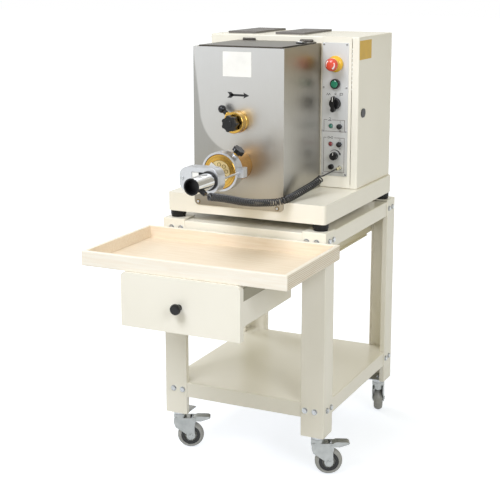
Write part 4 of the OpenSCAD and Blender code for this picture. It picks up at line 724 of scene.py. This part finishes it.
def steady_normals(mesh, limit):
    """Corner normals led by the widest faces at each corner, within an angle limit."""
    faces_at = [[] for _ in mesh.vertices]
    for face in mesh.polygons:
        for vertex in face.vertices:
            faces_at[vertex].append(face.index)
    normals = [face.normal.copy() for face in mesh.polygons]
    weights = [(face.area / MM ** 2) ** 2 for face in mesh.polygons]   # the widest face leads
    nearest = math.cos(math.radians(limit))
    corners = []
    for face in mesh.polygons:
        own = normals[face.index]
        for vertex in face.vertices:
            total = Vector()
            for i in faces_at[vertex]:
                if own.dot(normals[i]) > nearest:
                    total += normals[i] * weights[i]
            corners.append(total.normalized() if total.length > 1e-9 else own)
    mesh.normals_split_custom_set(corners)


print("triangles of the cabinet's solid", len(nodes["cabinet"].data.polygons))


# %% Linking a piece
SMOOTH_UNDER = 40.0                  # degrees: faces that meet flatter than this shade as one


def link_piece(name, shell, materials, body, slot, stands_for=()):
    mesh = bpy.data.meshes.new(name)
    shell.to_mesh(mesh)
    shell.free()
    for material in materials:
        mesh.materials.append(material)
    mesh.polygons.foreach_set("use_smooth", [True] * len(mesh.polygons))
    steady_normals(mesh, SMOOTH_UNDER)
    piece = bpy.data.objects.new(name, mesh)
    scene.collection.objects.link(piece)
    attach(piece, body)
    if stands_for:
        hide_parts(*stands_for)
    return piece


print("faces that meet under", SMOOTH_UNDER, "degrees shade as one")

# %% Rounding the folds
SHARP_FOLD = 50                      # degrees: a sharper edge than this is a fold or a cut


def round_folds(name, node_name, material, body, slot, radius, fine=0.35, shortest=18.0):
    """Rounds the folds, and breaks all the other rims by a fine chamfer."""
    shell = merged_mesh(node_name)
    widest = 2.2 * radius * MM
    folds = [edge for edge in outside_rims(shell, SHARP_FOLD)
             if edge.calc_length() > shortest * MM
             and all(face_width(face) > widest for face in edge.link_faces)]
    bevel(shell, folds, radius, 3)
    if fine:
        bevel(shell, outside_rims(shell, SHARP_FOLD), fine, 1)
    piece = link_piece(name, shell, [material], body, slot, [node_name])
    print(name, "folds", len(folds), "faces", len(piece.data.polygons))


for folded in (
        ("stand_legs_folded", "stand_legs", cream_coat, "machine", "cream_paint", 3.0),
        ("top_rails_folded", "top_rails", cream_coat, "machine", "cream_paint", 2.5),
        ("lower_shelf_folded", "lower_shelf", cream_coat, "machine", "cream_paint", 3.0),
        ("base_pan_folded", "base_pan", cream_coat, "machine", "cream_paint", 3.0),
        ("cabinet_folded", "cabinet", cream_coat, "machine", "cream_paint", 3.5),
        ("rear_cover_cut", "rear_cover", cream_coat, "machine", "cream_paint", 1.0, 0.2),
        ("drawer_carriers_folded", "drawer_carriers", painted_shade_coat, "machine", "cream_paint", 1.5, 0),
        ("drawer_box_folded", "drawer_box", cream_coat, "drawer", "cream_paint", 2.0),
        ("drawer_front_folded", "drawer_front", cream_coat, "drawer", "cream_paint", 3.0),
        ("control_fascia_cut", "control_fascia", cream_coat, "machine", "cream_paint", 0.8, 0),
        ("vat_trough_rolled", "vat_trough", side_steel, "machine", "stainless", 1.0, 0),
        ("lid_folded", "lid", lid_steel_painted_dark, "lid", "stainless", 1.5, 0.3),
        ("control_plate_cut", "control_plate", plate_coat, "machine", "plate_grey", 0.5, 0),
        ("cutter_arm_milled", "cutter_arm", blasted_alloy, "machine", "alloy", 1.5, 0.3, 0.5)):
    round_folds(*folded)


# %% [markdown]
# ## Turned and moulded pieces
# Where one solid has one finish and needs no broken edges, it keeps its mesh and only
# gets its surface.

# %% Materials of the solids
SURFACES = {
    "caster_plates": bright_zinc, "rubber_feet": black_rubber, "extruder_barrel": cast_bronze,
    "lid_hinge": lid_steel_painted_dark, "drive_unit": drive_coat, "cutter_rod": shaft_steel,
    "jack_plug": nickel_plug, "runner_inners": runner_zinc_painted_shade, "runner_middles": runner_zinc_painted_shade,
    "mixer_shaft": shaft_steel, "auger": shaft_steel, "start_button": green_lens,
    "cord_coil": cord_black, "cord_lead": cord_black,
}


def dress(node_name, material):
    mesh = nodes[node_name].data
    mesh.materials.clear()
    mesh.materials.append(material)


for node_name, material in SURFACES.items():
    dress(node_name, material)
print("dressed", len(SURFACES))


# %% [markdown]
# ## Solids with broken edges and more than one finish
# A wheel, a pilot lamp or a capped motor tube is one solid made of several materials.
# Its copy is merged, its sharp rims are broken with a small chamfer, and each face takes
# its material from where its corners lie on the piece. The corners tell a ring round an
# axis better than the face's middle does, since the middle of a flat ring is on the axis.

# %% Copies with several materials
SHARP_RIM = 48                       # degrees


def tinted_copy(name, node_name, body, slot, materials, choose, chamfer, segments=2):
    """A copy with broken rims. `choose` gives each face's material from its corners."""
    shell = merged_mesh(node_name)
    bevel(shell, outside_rims(shell, SHARP_RIM), chamfer, segments)
    if choose:
        for face in shell.faces:
            face.material_index = choose([drawn(corner.co) for corner in face.verts])
    piece = link_piece(name, shell, materials, body, slot, [node_name])
    print(name, "faces", len(piece.data.polygons))


def plain_copies(*rows):
    """Copies with broken rims and one finish each."""
    for name, node_name, body, slot, material, *chamfer in rows:
        tinted_copy(name, node_name, body, slot, [material], None, *chamfer)


def off_axis(p, x, z):
    """How far a drawn point is from an axis that runs front to back."""
    return math.hypot(p.x - x, p.z - z)


print("the extruder is", MIXER_Z - AUGER_Z, "mm under the mixer")


# %% Vat, tray and fasteners
TRAY_END = 300.9                     # the board's two ends are outside this
TRAY_IN, TRAY_FRONT, TRAY_BACK = 289.5, -647.5, -311.5      # and its floor is inside these
SIDE_FROM = -279.0                   # behind this the jacket is side, not plate


def tray_part(corners):
    """End grain on the two ends, a warmer floor inside, and the rim."""
    if all(abs(p.x) > TRAY_END for p in corners):
        return 2
    return int(all(abs(p.x) < TRAY_IN and TRAY_FRONT < p.y < TRAY_BACK for p in corners))


tinted_copy("vat_jacket_folded", "vat_jacket", "machine", "stainless", [plate_steel, side_steel],
            lambda corners: int(any(p.y > SIDE_FROM for p in corners)), 0.8)
tinted_copy("tray_board", "tray", "tray", "wood", [tray_wood, tray_floor, tray_end],
            tray_part, 2.5, 3)
plain_copies(
    ("frame_bolts_chamfered", "frame_fasteners", "machine", "zinc_steel", bright_zinc, 1.0),
    ("side_vents_cut", "top_vents", "machine", "grey_paint", vent_shade_coat, 0.6))


# %% Controls
LENS_R, TOGGLE_NUT_R, NUT_R = 7.5, 8.5, 9.0          # radii on the panel


def fitting_part(corners):
    """Lenses, bright nuts round the toggles, the speed knob and the jack, or black."""
    middle = sum(corners, Vector()) / len(corners)
    for i, lamp_z in enumerate(LAMPS_Z):
        if off_axis(middle, LAMP_X, lamp_z) < LENS_R:
            return 1 + i
        if off_axis(middle, TOGGLE_X, lamp_z) < TOGGLE_NUT_R:
            return 3
    on_nut = min(off_axis(middle, PANEL_X, SPEED_Z), off_axis(middle, JACK_X, JACK_Z)) < NUT_R
    return 3 if on_nut else 0


tinted_copy("panel_fittings_coloured", "panel_fittings", "machine", "black_plastic",
            [black_phenolic, green_lamp, red_lamp, bright_zinc], fitting_part, 0.4)
plain_copies(
    ("stop_collar_moulded", "stop_collar", "machine", "yellow_plastic", yellow_abs, 0.8, 3),
    ("stop_mushroom_moulded", "stop_button", "stop_button", "red_plastic", red_abs, 0.6, 3),
    ("selector_moulded", "selector_knob", "selector", "black_plastic", black_phenolic, 1.2),
    ("speed_knob_moulded", "speed_knob", "speed_knob", "black_plastic", black_phenolic, 0.6),
    ("toggle_upper_booted", "toggle_upper", "toggle_upper", "black_plastic", black_boot, 0.5),
    ("toggle_lower_booted", "toggle_lower", "toggle_lower", "black_plastic", black_boot, 0.5),
    ("drawer_knob_turned", "drawer_knob", "drawer", "black_gloss", black_phenolic, 0.8, 3))


# %% Head and cutter
FLANGE_R, GUARD_R, TUBE_IN_R = 40.0, 22.3, 20.2     # radii about the motor's axis
GUARD_Y, CAP_Y, MOUTH_Y = -546.5, -611.5, -630.7    # along it, toward the front
BRASS_Y, BRASS_X = -300.0, MOTOR_X + 29.5           # the motor's gland is brass past these
PIN_R, STEM_R = 35.3, 66.2                          # bright inside these, black outside


def motor_part(corners):
    """Bright screws off the axis, a dark guard, a black cap in the tube, or chrome."""
    radii = [off_axis(p, MOTOR_X, AUGER_Z) for p in corners]
    if radii[0] > FLANGE_R:
        return 2
    if min(radii) > GUARD_R and all(p.y > GUARD_Y for p in corners):
        return 3
    inner = max(radii) < TUBE_IN_R and all(p.y < CAP_Y for p in corners)
    return int(inner or all(p.y < MOUTH_Y for p in corners))


tinted_copy("cutter_motor_capped", "cutter_motor", "machine", "stainless",
            [chrome_tube, black_nylon, bright_zinc, guard_plastic], motor_part, 0.5)
tinted_copy("glands_fitted", "cable_glands", "machine", "black_plastic",
            [black_nylon, polished_brass],
            lambda corners: int(all(p.y < BRASS_Y and p.x > BRASS_X for p in corners)), 0.3)
tinted_copy("lock_pin_ball", "lock_pin", "lock_pin", "black_gloss", [black_phenolic, shaft_steel],
            lambda corners: int(all(off_axis(p, WORK_X, MIXER_Z) < PIN_R for p in corners)), 0.5)
tinted_copy("clamp_knob_fitted", "clamp_knob", "clamp_knob", "black_gloss",
            [black_phenolic, turned_brass],
            lambda corners: int(all(off_axis(p, WORK_X, AUGER_Z) < STEM_R for p in corners)), 1.0)
plain_copies(
    ("star_knob_moulded", "star_knob", "star_knob", "black_gloss", black_phenolic, 2.2, 3),
    ("bush_turned", "mixer_bush", "machine", "brass", turned_brass, 0.5),
    ("clamp_ring_turned", "clamp_ring", "machine", "alloy", blasted_alloy, 1.2),
    ("die_ring_turned", "die_ring", "die_ring", "brass", turned_brass, 0.6),
    ("die_plate_turned", "die_plate", "machine", "bronze", die_bronze, 0.3),
    ("knife_ground", "knife", "knife", "stainless", shaft_steel, 0.2))


# %% Casters
# x and y of each stem, and the way in degrees that the fork trails
CASTERS = {"front_left": (-226, -261, 26), "front_right": (226, -261, 26),
           "rear_left": (-226, 261, 106), "rear_right": (226, 261, 106)}
WHEEL_R, TRAIL = 40.0, 32.0
TYRE_IN, GUARD_IN, GUARD_SIDE = 28.95, 15.0, 10.52


def caster_axes(caster):
    """The stem's foot, the way that the fork trails, and the way of the axle."""
    x, y, turn = CASTERS[caster]
    ahead = Vector((math.cos(math.radians(turn)), math.sin(math.radians(turn)), 0))
    return Vector((x, y, 0)), ahead, Vector((-ahead.y, ahead.x, 0))


def wheel_part(caster):
    """Chooses tyre, hub or thread guard by the distance from the axle and along it."""
    foot, ahead, axle = caster_axes(caster)
    hub = foot + ahead * TRAIL + Vector((0, 0, WHEEL_R))

    def choose(corners):
        sideways = [abs((p - hub).dot(axle)) for p in corners]
        radii = [((p - hub) - axle * (p - hub).dot(axle)).length for p in corners]
        if min(radii) > TYRE_IN:
            return 0
        return 2 if min(radii) > GUARD_IN and min(sideways) > GUARD_SIDE else 1
    return choose


for caster in CASTERS:
    wheel, fork = "wheel_" + caster, "fork_" + caster
    tinted_copy(wheel + "_fitted", wheel, wheel, "tyre_grey",
                [tyre_rubber, hub_plastic, guard_plastic], wheel_part(caster), 0.4)
    plain_copies((fork + "_pressed", fork, fork, "grey_paint", fork_steel, 0.8))
for pedal in ("pedal_left", "pedal_right"):
    plain_copies((pedal + "_pressed", pedal, pedal, "grey_paint", fork_steel, 1.0))


# %% [markdown]
# ## Rings, slats and springs with Geometry Nodes
# Washers, the rims round the die's inserts and the louvre slats repeat one small shape
# at many places. A Geometry Nodes tree makes each shape once from its named sizes and
# puts it on every point of a base mesh, turned to the point's own `outward` vector. The
# result is baked to a plain mesh, so that nothing stays live.

# %% Starting and closing a tree
def new_tree(name, *sizes):
    """A tree with named inputs for its sizes and its finish."""
    tree = bpy.data.node_groups.new(name, "GeometryNodeTree")
    tree.interface.new_socket(name="Geometry", in_out="OUTPUT", socket_type="NodeSocketGeometry")
    tree.interface.new_socket(name="Geometry", in_out="INPUT", socket_type="NodeSocketGeometry")
    for size in sizes:
        tree.interface.new_socket(name=size, in_out="INPUT", socket_type="NodeSocketFloat")
    tree.interface.new_socket(name="Finish", in_out="INPUT", socket_type="NodeSocketMaterial")
    return tree, add(tree, "NodeGroupInput").outputs


def on_every_point(tree, given, shape):
    """Puts the shape on each point, its Z toward `outward`, and closes the tree."""
    outward = add(tree, "GeometryNodeInputNamedAttribute", {"Name": "outward"},
                  data_type="FLOAT_VECTOR")
    turn = add(tree, "FunctionNodeAlignRotationToVector",
               {"Vector": outward.outputs["Attribute"]}, axis="Z")
    spread = add(tree, "GeometryNodeInstanceOnPoints",
                 {"Points": given["Geometry"], "Instance": shape, "Rotation": turn.outputs[0]})
    real = add(tree, "GeometryNodeRealizeInstances", {"Geometry": spread.outputs[0]})
    smooth = add(tree, "GeometryNodeSetShadeSmooth", {"Geometry": real.outputs[0]})
    finish = add(tree, "GeometryNodeSetMaterial", {"Geometry": smooth.outputs[0],
                                                   "Material": given["Finish"]})
    add(tree, "NodeGroupOutput", {"Geometry": finish.outputs[0]})
    return tree


print("node trees so far", len(bpy.data.node_groups))


# %% Growing a pattern on points
def grown(name, tree, inputs, places, body, slot):
    """Bakes a tree on points [(place, outward), ...] to a plain mesh."""
    mesh = bpy.data.meshes.new(name)
    mesh.from_pydata([at(*place) for place, outward in places], [], [])
    directions = mesh.attributes.new("outward", "FLOAT_VECTOR", "POINT")
    for i, (place, outward) in enumerate(places):
        directions.data[i].vector = outward
    base = bpy.data.objects.new(name + "_points", mesh)
    scene.collection.objects.link(base)
    grower = base.modifiers.new("grower", "NODES")
    grower.node_group = tree
    for item in tree.interface.items_tree:
        if item.item_type == "SOCKET" and item.in_out == "INPUT" and item.name in inputs:
            grower[item.identifier] = inputs[item.name]
    evaluated = base.evaluated_get(bpy.context.evaluated_depsgraph_get())
    plain = bpy.data.meshes.new_from_object(evaluated)
    plain.name = name
    base.modifiers.remove(grower)
    bpy.data.objects.remove(base)
    plain.set_sharp_from_angle(angle=math.radians(SMOOTH_UNDER))
    piece = bpy.data.objects.new(name, plain)
    scene.collection.objects.link(piece)
    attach(piece, body)
    print(name, "on", len(places), "points, faces", len(plain.polygons))


print("patterns turn to the point's outward, as", FORWARD, "on the front")


# %% Tree of a flat ring
def ring_tree():
    """A ring with a rectangular section, which stands up from its point."""
    tree, given = new_tree("flat_ring", "Hole radius", "Width", "Thickness")
    half = add(tree, "ShaderNodeMath", {0: given["Width"], 1: 0.5, 2: given["Hole radius"]},
               operation="MULTIPLY_ADD")
    path = add(tree, "GeometryNodeCurvePrimitiveCircle", {"Resolution": 28,
                                                          "Radius": half.outputs[0]})
    section = add(tree, "GeometryNodeCurvePrimitiveQuadrilateral",
                  {"Width": given["Width"], "Height": given["Thickness"]})
    ring = add(tree, "GeometryNodeCurveToMesh", {"Curve": path.outputs[0],
                                                 "Profile Curve": section.outputs[0]})
    return on_every_point(tree, given, ring.outputs[0])


flat_ring = ring_tree()
print("tree", flat_ring.name)

# %% Washers, rims and grooves
HALF_W, HALF_D = 256.0, 294.0        # of the stand, over the legs
STAND_BOLTS_Z = (198.5, 693.5)
FRONT_BOLT_X, SIDE_BOLT_Y, BOLT_PITCH = 213.4, 253.2, 30.0
INSERT_CIRCLE, INSERT_FACE = 20.0, RING_FACE + 0.5
VAT_SCREWS_X, VAT_SCREWS_Z = (-145.0, 104.0), 776.0

bolt_places = []
for z in STAND_BOLTS_Z:
    for sx in (-1, 1):
        for sy in (-1, 1):
            for step in (-BOLT_PITCH / 2, BOLT_PITCH / 2):
                bolt_places.append(((sx * (FRONT_BOLT_X + step), sy * HALF_D, z), (0, sy, 0)))
                bolt_places.append(((sx * HALF_W, sy * (SIDE_BOLT_Y + step), z), (sx, 0, 0)))
insert_places = [((WORK_X + INSERT_CIRCLE * math.cos(math.radians(a)), INSERT_FACE,
                   AUGER_Z + INSERT_CIRCLE * math.sin(math.radians(a))), FORWARD)
                 for a in range(5, 365, 45)]
ring_centre = [((WORK_X, RING_FACE, AUGER_Z), FORWARD)]
screw_places = [((x, PLATE_FRONT, VAT_SCREWS_Z), FORWARD) for x in VAT_SCREWS_X]
lamp_places = [((LAMP_X, PANEL_Y, z), FORWARD) for z in LAMPS_Z]

# name, hole radius, width and thickness in millimetres, finish, places, body, slot
for name, hole, width, thick, finish, places, body, slot in (
        ("stand_bolt_washers", 5.5, 3.2, 2.4, bright_zinc, bolt_places, "machine", "zinc_steel"),
        ("die_insert_rims", 4.2, 1.2, 1.4, joint_and_shade_bronze, insert_places, "machine", "bronze"),
        ("die_insert_lips", 0.9, 1.4, 1.0, die_bronze, insert_places, "machine", "bronze"),
        # the dark grooves and the dark rings round the plate's screws are painted shade
        ("die_ring_groove_shade", 30.9, 0.8, 0.6, joint_and_shade_bronze, ring_centre, "die_ring", "brass"),
        ("nut_groove_shade", 41.0, 0.7, 0.6, joint_and_shade_bronze, ring_centre, "die_ring", "brass"),
        ("plate_screw_shadow_rings", 4.4, 2.2, 1.6, joint_and_shade_bronze, screw_places, "machine", "zinc_steel"),
        ("lamp_bezels", 6.4, 1.4, 3.6, bright_zinc, lamp_places, "machine", "zinc_steel")):
    grown(name, flat_ring, {"Hole radius": hole * MM, "Width": width * MM,
                            "Thickness": thick * MM, "Finish": finish}, places, body, slot)


# %% Tree of a louvre slat
def slat_tree():
    """A thin tilted slat, which closes the view into a vent's slot."""
    tree, given = new_tree("louvre_slat", "Length", "Depth", "Thickness", "Tilt")
    size = add(tree, "ShaderNodeCombineXYZ", {"X": given["Length"], "Y": given["Depth"],
                                              "Z": given["Thickness"]})
    plank = add(tree, "GeometryNodeMeshCube", {"Size": size.outputs[0]})
    lean = add(tree, "ShaderNodeCombineXYZ", {"X": given["Tilt"]})
    tilted = add(tree, "GeometryNodeTransform", {"Geometry": plank.outputs[0],
                                                 "Rotation": lean.outputs[0]})
    return on_every_point(tree, given, tilted.outputs[0])


louvre_slat = slat_tree()
VENTS_X, VENT_Y, SLAT_PITCH, SLAT_Z = (-157.0, 1.0), 143.5, 209.0 / 9, 1243.0
slat_places = [((x, VENT_Y + i * SLAT_PITCH, SLAT_Z), (0, 0, 1))
               for x in VENTS_X for i in range(-4, 5)]
grown("vent_slats", louvre_slat, {"Length": 0.082, "Depth": 0.009, "Thickness": 0.0012,
                                  "Tilt": 0.4, "Finish": vent_shade_coat},
      slat_places, "machine", "grey_paint")


# %% Tree of a coil spring
def spring_tree():
    """A round wire wound to a spring that stands up from its point."""
    tree, given = new_tree("coil_spring", "Turns", "Radius", "Length", "Wire radius")
    path = add(tree, "GeometryNodeCurveSpiral",
               {"Resolution": 16, "Rotations": given["Turns"], "Start Radius": given["Radius"],
                "End Radius": given["Radius"], "Height": given["Length"]})
    wire = add(tree, "GeometryNodeCurvePrimitiveCircle", {"Resolution": 8,
                                                          "Radius": given["Wire radius"]})
    spring = add(tree, "GeometryNodeCurveToMesh", {"Curve": path.outputs[0],
                                                   "Profile Curve": wire.outputs[0],
                                                   "Fill Caps": True})
    return on_every_point(tree, given, spring.outputs[0])


coil_spring = spring_tree()
SPRING_TRAIL, SPRING_SIDE, SPRING_Z = 39.0, 11.0, 90.5
for caster in ("front_left", "front_right"):
    foot, ahead, axle = caster_axes(caster)
    seat = foot + ahead * SPRING_TRAIL - axle * SPRING_SIDE + Vector((0, 0, SPRING_Z))
    grown("brake_spring_" + caster, coil_spring,
          {"Turns": 5.0, "Radius": 0.0052, "Length": 0.022, "Wire radius": 0.0009,
           "Finish": bright_zinc}, [(tuple(seat), tuple(axle))], "fork_" + caster, "zinc_steel")


# %% [markdown]
# ## Prints on the front and the panel
# Screen print is a skin of ink. Each mark is a flat shape raised by a tenth or two of a
# millimetre, so that it exists in the mesh as well as in the picture. The marks are
# plain: arrows, frames, lines and small signs.

# %% Flat shapes
SUNK = 0.3                           # mm that a mark reaches into its sheet


def flat_shapes(name, outlines, y, thick, material, body, slot):
    """Outlines in the drawing's (x, z), raised from y toward the front. The surface's y
    is a number or a function of (x, z)."""
    shell = bmesh.new()
    surface = y if callable(y) else lambda x, z: y
    for outline in outlines:
        back = [shell.verts.new(at(x, surface(x, z) + SUNK, z)) for x, z in outline]
        front = [shell.verts.new(at(x, surface(x, z) - thick, z)) for x, z in outline]
        count = len(outline)
        for i in range(count):
            j = (i + 1) % count
            shell.faces.new((back[j], back[i], front[i], front[j]))
        if callable(y):
            # a band is filled across, so that it follows the curved surface
            for i in range(count // 2 - 1):
                k = count - 1 - i
                shell.faces.new((front[i], front[i + 1], front[k - 1], front[k]))
                shell.faces.new((back[k], back[k - 1], back[i + 1], back[i]))
        else:
            shell.faces.new(back)
            shell.faces.new(front[::-1])
    bmesh.ops.recalc_face_normals(shell, faces=shell.faces)
    link_piece(name, shell, [material], body, slot)


def arc(x, z, radius, start, end, steps):
    return [(x + radius * math.cos(math.radians(start + (end - start) * k / steps)),
             z + radius * math.sin(math.radians(start + (end - start) * k / steps)))
            for k in range(steps + 1)]


def rounded(x0, z0, x1, z1, radius, steps=5):
    left, right, low, high = x0 + radius, x1 - radius, z0 + radius, z1 - radius
    return [point for x, z, start in ((right, high, 0), (left, high, 90), (left, low, 180),
                                      (right, low, 270))
            for point in arc(x, z, radius, start, start + 90, steps)]


def frame_line(x0, z0, x1, z1, line, gap):
    """The four sides of a frame, with a gap (x0, x1) in the top side."""
    sides = [(x0, z1 - line, gap[0], z1), (gap[1], z1 - line, x1, z1), (x0, z0, x1, z0 + line),
             (x0, z0, x0 + line, z1), (x1 - line, z0, x1, z1)]
    return [rounded(*side, line / 2.1, 2) for side in sides]


def arc_band(x, z, radius, width, start, end, steps=14, end_width=None):
    """A band along an arc, as wide as `end_width` at its end."""
    end_width = end_width or width
    outer, inner = [], []
    for k in range(steps + 1):
        a = math.radians(start + (end - start) * k / steps)
        half = (width + (end_width - width) * k / steps) / 2
        outer.append((x + (radius + half) * math.cos(a), z + (radius + half) * math.sin(a)))
        inner.append((x + (radius - half) * math.cos(a), z + (radius - half) * math.sin(a)))
    return outer + inner[::-1]


def tip(x, z, angle, length, width):
    """The triangle of an arrow's head."""
    a = math.radians(angle)
    along, across = Vector((math.cos(a), math.sin(a))), Vector((-math.sin(a), math.cos(a)))
    base = Vector((x, z))
    return [tuple(base + across * width / 2), tuple(base - across * width / 2),
            tuple(base + along * length)]


def stroke(points, width):
    """A line of even width through points, as one bar for each part."""
    bars = []
    for start, end in zip(points, points[1:]):
        along = (Vector(end) - Vector(start)).normalized() * width / 2
        across = Vector((-along.y, along.x))
        tail, head = Vector(start) - along, Vector(end) + along
        bars.append([tuple(tail + across), tuple(tail - across), tuple(head - across),
                     tuple(head + across)])
    return bars


print("a rounded square has", len(rounded(0, 0, 10, 10, 2)), "corners")


# %% Marks on the vat's plate
ARROW_Z = 1087.8
TURN_ARROW = [                       # x, and z over the arrow's axis: shaft, head and tail
    [(-40, -3), (5, -3), (5, 3), (-40, 3)],
    [(-1, -8.6), (18, 0), (-1, 8.6), (4.0, 0)],
    [(-50, -8.2), (-38, -8.2), (-30, -2), (-30, 2), (-38, 8.2), (-50, 8.2), (-44, 1.6),
     (-44, -1.6)],
]
flat_shapes("turn_arrow", [[(x, ARROW_Z + z) for x, z in part] for part in TURN_ARROW],
            PLATE_FRONT, 0.2, print_ink, "machine", "black_plastic")
flat_shapes("blank_label", [rounded(-64, 1139, 24, 1208, 2)], PLATE_FRONT, 0.25, white_ink,
            "machine", "plate_grey")
print("arrow parts", len(TURN_ARROW))

# %% Frames on the control plate
LINE = 1.1                           # width of the printed lines
FRAME_X0, FRAME_X1 = 135.0, 200.5
ink_lines = frame_line(FRAME_X0, 963.5, FRAME_X1, 998.5, LINE, (146, 161))
ink_lines += frame_line(FRAME_X0, 842.5, FRAME_X1, 946, LINE, (144, 168))
flat_shapes("panel_frames", ink_lines, PANEL_Y, 0.15, brown_ink, "machine", "black_plastic")
print("frame bars", len(ink_lines))

# %% Signs on the control plate
SPEED_ARC = 17.5                     # radius of the speed knob's arc
HEAD_AT = math.radians(26)
RING = (0, 350)                      # a ring is a band that is all but closed


def ring_sign(x, z, radius, width, steps):
    return arc_band(x, z, radius, width, *RING, steps)


# the arc of the speed knob grows wider toward its arrow
marks = [arc_band(PANEL_X, SPEED_Z, SPEED_ARC, 0.8, 140, 25, 20, 4.0),
         tip(PANEL_X + SPEED_ARC * math.cos(HEAD_AT), SPEED_Z + SPEED_ARC * math.sin(HEAD_AT),
             -66, 6.5, 8.0)]
for z in LAMPS_Z:                    # a stroke over each toggle and a ring under it
    marks += [rounded(TOGGLE_X - 0.7, z + 11.0, TOGGLE_X + 0.7, z + 15.5, 0.6, 2),
              ring_sign(TOGGLE_X, z - 13.2, 1.6, 0.9, 16)]
# a drop over a line at the upper frame, and two linked rings at the lower one
marks += [arc_band(153.5, 1001, 3.2, LINE, 200, 500), rounded(148, 995, 159, 996.4, 0.6, 2),
          ring_sign(151, 946, 2.8, LINE, 14), ring_sign(161.5, 946, 2.8, LINE, 14),
          rounded(153.4, 945.4, 159.2, 946.6, 0.5, 2)]
# signs over the selector: a zigzag, a small ring and a flag
marks += stroke([(PANEL_X + x, z) for x, z in ((-28, 1070), (-25, 1076), (-22, 1070),
                                               (-19, 1076), (-16.5, 1071))], LINE)
marks += [ring_sign(PANEL_X, 1075, 2.2, LINE, 14)]
marks += stroke([(PANEL_X + x, z) for x, z in ((14, 1069), (14, 1077), (22, 1077),
                                               (22, 1072), (15, 1072))], 1.2)
flat_shapes("panel_marks", marks, PANEL_Y, 0.15, print_ink, "machine", "black_plastic")
print("panel marks", len(marks))


# %% [markdown]
# ## Marks on the buttons
# The mushroom head carries two bold white arcs on its slope, which show the way it is
# twisted free. They follow the slope, so their height is a function of the radius. The
# two turning knobs have a thin white line at the top.

# %% Arcs and pointer lines
STOP_FACE_Y = PANEL_Y - 29.0
HEAD_SLOPE = ((0.0, 20.0), (10.0, 18.6), (15.5, 15.0), (18.4, 10.0), (19.0, 5.0))


def head_surface(x, z):
    """The y of the mushroom head's front at a place, from its turned outline."""
    radius = off_axis(Vector((x, 0, z)), PANEL_X, STOP_Z)
    for (r0, h0), (r1, h1) in zip(HEAD_SLOPE, HEAD_SLOPE[1:]):
        if radius <= r1:
            return STOP_FACE_Y - (h0 + (h1 - h0) * (radius - r0) / (r1 - r0))
    return STOP_FACE_Y - HEAD_SLOPE[-1][1]


def pointer(z0, z1, half, corner):
    """An upright line on a knob of the panel."""
    return [rounded(PANEL_X - half, z0, PANEL_X + half, z1, corner, 3)]


twist = [arc_band(PANEL_X, STOP_Z, 12.8, 1.4, start, start - 85, 18, 4.2) for start in (205, 25)]
flat_shapes("stop_twist_arcs", twist, head_surface, 0.25, white_ink, "stop_button", "plate_grey")
SELECTOR_FACE_Y, SPEED_FACE_Y = PANEL_Y - 25.3, PANEL_Y - 16.3
flat_shapes("selector_line", pointer(SELECTOR_Z + 7, SELECTOR_Z + 21, 0.9, 0.7),
            SELECTOR_FACE_Y, 0.2, white_ink, "selector", "plate_grey")
flat_shapes("speed_line", pointer(SPEED_Z + 3, SPEED_Z + 10.5, 0.8, 0.6),
            SPEED_FACE_Y, 0.2, white_ink, "speed_knob", "plate_grey")
print("head surface at its middle", head_surface(PANEL_X, STOP_Z))


# %% [markdown]
# ## Small parts on the sheet
# A yellow anodised plate is stuck on the right side of the cabinet and left blank. A
# small black latch with a bright cap holds the lid at its right edge. In the cutter's
# arm, a white slide lies in the pocket beside the motor, and a black block beside it is
# painted shade in the pocket. All of them are chamfered blocks, so one helper makes them.

# %% Chamfered blocks
def block(name, low, high, chamfer, material, body, slot):
    """A block between two drawn corners, with chamfered edges."""
    shell = bmesh.new()
    (x0, y0, z0), (x1, y1, z1) = low, high
    outline = ((x0, y0), (x1, y0), (x1, y1), (x0, y1))
    floor, roof = ([shell.verts.new(at(x, y, z)) for x, y in outline] for z in (z0, z1))
    shell.faces.new(floor[::-1])
    shell.faces.new(roof)
    for i in range(4):
        shell.faces.new((floor[i], floor[(i + 1) % 4], roof[(i + 1) % 4], roof[i]))
    bevel(shell, shell.edges[:], chamfer, 2)
    bmesh.ops.recalc_face_normals(shell, faces=shell.faces)
    link_piece(name, shell, [material], body, slot)
    print(name)


block("yellow_side_plate", (240.0, -10, 1174), (240.6, 88, 1229), 0.2, yellow_plate,
      "machine", "yellow_plastic")
block("lid_latch", (88, -122, 1223.8), (112, -100, 1227.6), 0.8, black_nylon,
      "lid", "black_plastic")
block("lid_latch_cap", (85, -119, 1227.2), (106, -104, 1229.2), 0.6, shaft_steel,
      "lid", "stainless")
block("pocket_slide", (-26.5, -538.2, 879), (-7, -533.6, 911), 0.6, white_ink,
      "machine", "plate_grey")
# a black block standing for the shade in the arm's pocket: painted shade
block("pocket_shade_block", (-6.6, -539.4, 889), (5, -533.6, 911), 0.6, black_nylon,
      "machine", "black_plastic")
